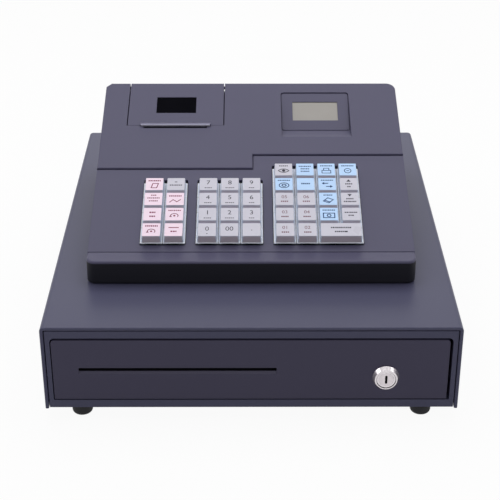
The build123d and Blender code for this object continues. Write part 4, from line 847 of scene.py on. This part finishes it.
def feet():
    """Turned rubber feet, domed below, where the CAD has its own."""
    corners = [vertex.co for vertex in nodes["rubber_feet"].data.vertices]
    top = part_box("rubber_feet")[1].z
    inward, upward = FOOT_DOME
    turns = [math.radians(90 * step / FOOT_DOME_STEPS) for step in range(FOOT_DOME_STEPS + 1)]
    profile = [(0, 0)]
    profile += [(FOOT_RADIUS - inward * (1 - math.sin(a)), upward * (1 - math.cos(a))) for a in turns]
    profile += [(FOOT_RADIUS, top), (0, top)]
    rubber_mesh = bmesh.new()
    for side_x in (-1, 1):
        for side_y in (-1, 1):
            own = [place for place in corners if place.x * side_x > 0 and place.y * side_y > 0]
            spans = [[place[axis] for place in own] for axis in (0, 1)]
            x, y = [(min(span) + max(span)) / 2 for span in spans]
            bmesh.ops.translate(rubber_mesh, vec=(x, y, 0), verts=turned(rubber_mesh, profile, steps=48))
    piece = finish_piece("feet_turned", rubber_mesh, foot_rubber, "case")
    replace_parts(piece, "rubber_feet")


lock_details()
feet()

# ---------------------------------------------------------------- rear: screws, contacts, switch marks
REAR = (0, 1, 0)
SCREW_RADIUS = 3.0 * MM
SCREW_RISE = 1.5 * MM
SCREW_PROFILE = (  # of the pan head, as shares of its radius and its rise
    (0, 0),
    (1, 0),
    (1, 0.3),
    (0.88, 0.7),
    (0.6, 0.93),
    (0.3, 1),
    (0, 1),
)
# a black cross between these heights stands for the cross recess: painted shade
CROSS_HALF = (SCREW_RADIUS * 0.55, SCREW_RADIUS * 0.13)
CROSS_HEIGHTS = (SCREW_RISE * 0.8, SCREW_RISE + 0.01 * MM)
SCREW_INSET_X = 14.0 * MM
SCREW_INSET_Z = 12.0 * MM
SOCKET_FLOOR = 8.6 * MM  # from a socket's mouth in to its floor
PIN_RADIUS = 1.0 * MM
PIN_SHOULDER = 6.5 * MM
PIN_LENGTH = 7.2 * MM
PIN_TIP = 0.6  # radius of the pin's tip, as a share of its own
CONTACT_COUNT = 6
CONTACT_PITCH = 1.27 * MM
CONTACT_HALF = 0.25 * MM
CONTACT_MOUTH = 3.4 * MM  # from a socket's mouth in to its contacts
CONTACT_RISES = (2.6 * MM, 1.2 * MM)  # top of the strip at the floor and at the mouth
CONTACT_SHEET = 0.3 * MM


def pan_screw(name, place):
    """Pan head on the rear wall, with a black cross in it as the painted shade of its cross recess."""
    head = bmesh.new()
    turned(head, [(SCREW_RADIUS * radius, SCREW_RISE * rise) for radius, rise in SCREW_PROFILE], steps=28)
    stand(head, place, REAR)
    finish_piece(name, head, zinc, "case")
    cross = bmesh.new()
    long, short = CROSS_HALF
    for u, v in ((long, short), (short, long)):
        prism(cross, [(-u, -v), (u, -v), (u, v), (-u, v)], *CROSS_HEIGHTS, along="z")
    stand(cross, place, REAR)
    finish_piece(name + "_recess_painted_shade", cross, switch_black_and_painted_shade, "case", smooth=False)


case_low, case_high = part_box("case_chassis")
screw_spots = [
    (side * (case_high.x - SCREW_INSET_X), case_high.y, z)
    for side in (-1, 1)
    for z in (case_low.z + SCREW_INSET_Z, case_high.z - SCREW_INSET_Z)
]
for index, spot in enumerate(screw_spots, 1):
    pan_screw(f"wall_screw_{index}", spot)


def mount_place(name):
    """Where the record has a connection point."""
    return Vector(next(mount["pos_m"] for mount in record["mounts"] if mount["name"] == name))


def contacts():
    """Centre pin of the power jack and spring contacts in the two lead sockets."""
    pin = bmesh.new()
    shank = [(0, 0), (PIN_RADIUS, 0), (PIN_RADIUS, PIN_SHOULDER)]
    tip = [(PIN_RADIUS * PIN_TIP, PIN_LENGTH), (0, PIN_LENGTH)]
    turned(pin, shank + tip, steps=20)
    stand(pin, mount_place("power_inlet") - Vector((0, SOCKET_FLOOR, 0)), REAR)
    finish_piece("jack_pin", pin, zinc, "case")
    for name in ("drawer_port", "drawer_socket"):
        place = mount_place(name)
        floor_y, mouth_y = place.y - SOCKET_FLOOR, place.y - CONTACT_MOUTH
        floor_z, mouth_z = [place.z + rise for rise in CONTACT_RISES]
        outline = [
            (floor_y, floor_z),
            (mouth_y, mouth_z),
            (mouth_y, mouth_z - CONTACT_SHEET),
            (floor_y, floor_z - CONTACT_SHEET),
        ]
        strips = bmesh.new()
        for i in range(CONTACT_COUNT):
            x = place.x + (i - (CONTACT_COUNT - 1) / 2) * CONTACT_PITCH
            prism(strips, outline, x - CONTACT_HALF, x + CONTACT_HALF)
        finish_piece(name + "_contacts", strips, gold, "case", smooth=False)


contacts()


MARK_FACE = 20 * MM * MM  # the rocker's two halves are the faces over this area
MARK_SUNK = 0.01 * MM
MARK_PROUD = 0.02 * MM


def switch_marks():
    """The I and O signs, one on each half of the rocker."""
    mesh = nodes["power_switch"].data
    halves = sorted(
        (face for face in mesh.polygons if face.normal.y > 0.9 and face.area > MARK_FACE),
        key=lambda face: face.center.z,
    )
    signs = (
        ("on", [[(-0.35, -2.0), (0.35, -2.0), (0.35, 2.0), (-0.35, 2.0)]], halves[-1]),
        ("off", band(arc(0, 0, 1.7, 0, 360), 0.6), halves[0]),
    )
    for sign, quads, face in signs:
        up = Vector((0, 0, 1)) - face.normal * face.normal.z
        up.normalize()
        right = up.cross(face.normal)
        basis = Matrix((right, up, face.normal)).transposed().to_4x4()
        mark = bmesh.new()
        for quad in quads:
            prism(mark, [(x * MM, y * MM) for x, y in quad], -MARK_SUNK, MARK_PROUD, along="z")
        bmesh.ops.transform(mark, matrix=Matrix.Translation(face.center) @ basis, verts=mark.verts)
        finish_piece("switch_mark_" + sign, mark, mark_white, "power_switch", smooth=False)


switch_marks()

# ---------------------------------------------------------------- camera, lights and floor
CAMERA_PLACE = (-3.16 * MM, -1133.6 * MM, 664.8 * MM)
CAMERA_DOWN = 28.271  # degrees below level
CAMERA_TURN = -0.116
IMAGE_SIZE = 500  # pixels, each way
FOCAL_PIXELS = 1332.5
SENSOR = 36.0

camera_data = bpy.data.cameras.new("camera")
camera_data.sensor_width = SENSOR
camera_data.lens = FOCAL_PIXELS / IMAGE_SIZE * SENSOR
camera_data.clip_end = 20
camera = bpy.data.objects.new("camera", camera_data)
camera.location = CAMERA_PLACE
camera.rotation_euler = (math.radians(90 - CAMERA_DOWN), 0, math.radians(CAMERA_TURN))
scene.collection.objects.link(camera)
scene.camera = camera


def softbox(name, place, aim, size, power):
    """Rectangular lamp at a place, facing a point."""
    lamp = bpy.data.lights.new(name, "AREA")
    lamp.shape = "RECTANGLE"
    lamp.size, lamp.size_y = size
    lamp.energy = power
    holder = bpy.data.objects.new(name, lamp)
    holder.location = place
    holder.rotation_euler = (Vector(aim) - Vector(place)).to_track_quat("-Z", "Y").to_euler()
    scene.collection.objects.link(holder)


LAMPS = (  # name, place, the point it faces, its sides and its power in watts
    ("lamp_top", (0, 0.35, 1.5), (0, 0, 0.1), (1.6, 1.2), 16.0),
    ("lamp_left", (-1.25, -0.1, 0.8), (0, 0, 0.1), (1.0, 1.0), 5.0),
    ("lamp_right", (1.25, -0.1, 0.8), (0, 0, 0.1), (1.0, 1.0), 4.0),
    ("lamp_front", (0, -1.6, 1.1), (0, 0, 0.08), (1.2, 0.6), 4.5),
    ("lamp_rear", (0, 1.7, 0.9), (0, 0, 0.1), (1.2, 0.6), 3.0),
)
for lamp_settings in LAMPS:
    softbox(*lamp_settings)


def white_for_camera(tree, shader, whiteness):
    """Mixes an even white over a shader for camera, glossy and transmission rays."""
    rays = add_node(tree, "ShaderNodeLightPath").outputs
    seen = add_math(tree, "MAXIMUM", rays["Is Camera Ray"], rays["Is Glossy Ray"])
    seen = add_math(tree, "MAXIMUM", seen, rays["Is Transmission Ray"])
    white = add_node(tree, "ShaderNodeEmission", Color=(1, 1, 1, 1))
    mixed = add_node(tree, "ShaderNodeMixShader", Fac=add_math(tree, "MULTIPLY", seen, whiteness))
    tree.links.new(shader, mixed.inputs[1])
    tree.links.new(white.outputs[0], mixed.inputs[2])
    return mixed.outputs[0]


FLOOR_WHITENESS = 0.94  # share of even white; the rest carries the shadow
FLOOR_HALF = 6
WORLD_STRENGTH = 0.16

floor_material = bpy.data.materials.new("floor_white")
floor_material.use_nodes = True
floor_tree = floor_material.node_tree
floor_bsdf = floor_tree.nodes["Principled BSDF"]
floor_bsdf.inputs["Base Color"].default_value = (0.8, 0.8, 0.8, 1)
floor_bsdf.inputs["Roughness"].default_value = 0.9
floor_output = floor_tree.nodes["Material Output"]
floor_shader = white_for_camera(floor_tree, floor_bsdf.outputs[0], FLOOR_WHITENESS)
floor_tree.links.new(floor_shader, floor_output.inputs["Surface"])

floor_mesh = bmesh.new()
bmesh.ops.create_grid(floor_mesh, x_segments=1, y_segments=1, size=FLOOR_HALF)
floor_data = bpy.data.meshes.new("floor")
floor_mesh.to_mesh(floor_data)
floor_mesh.free()
floor_data.materials.append(floor_material)
floor = bpy.data.objects.new("floor", floor_data)
scene.collection.objects.link(floor)

world = bpy.data.worlds.new("studio")
scene.world = world
world.use_nodes = True
world_tree = world.node_tree
background = world_tree.nodes["Background"]
background.inputs["Color"].default_value = (1, 1, 1, 1)
background.inputs["Strength"].default_value = WORLD_STRENGTH
world_output = world_tree.nodes["World Output"]
world_shader = white_for_camera(world_tree, background.outputs[0], 1.0)
world_tree.links.new(world_shader, world_output.inputs["Surface"])
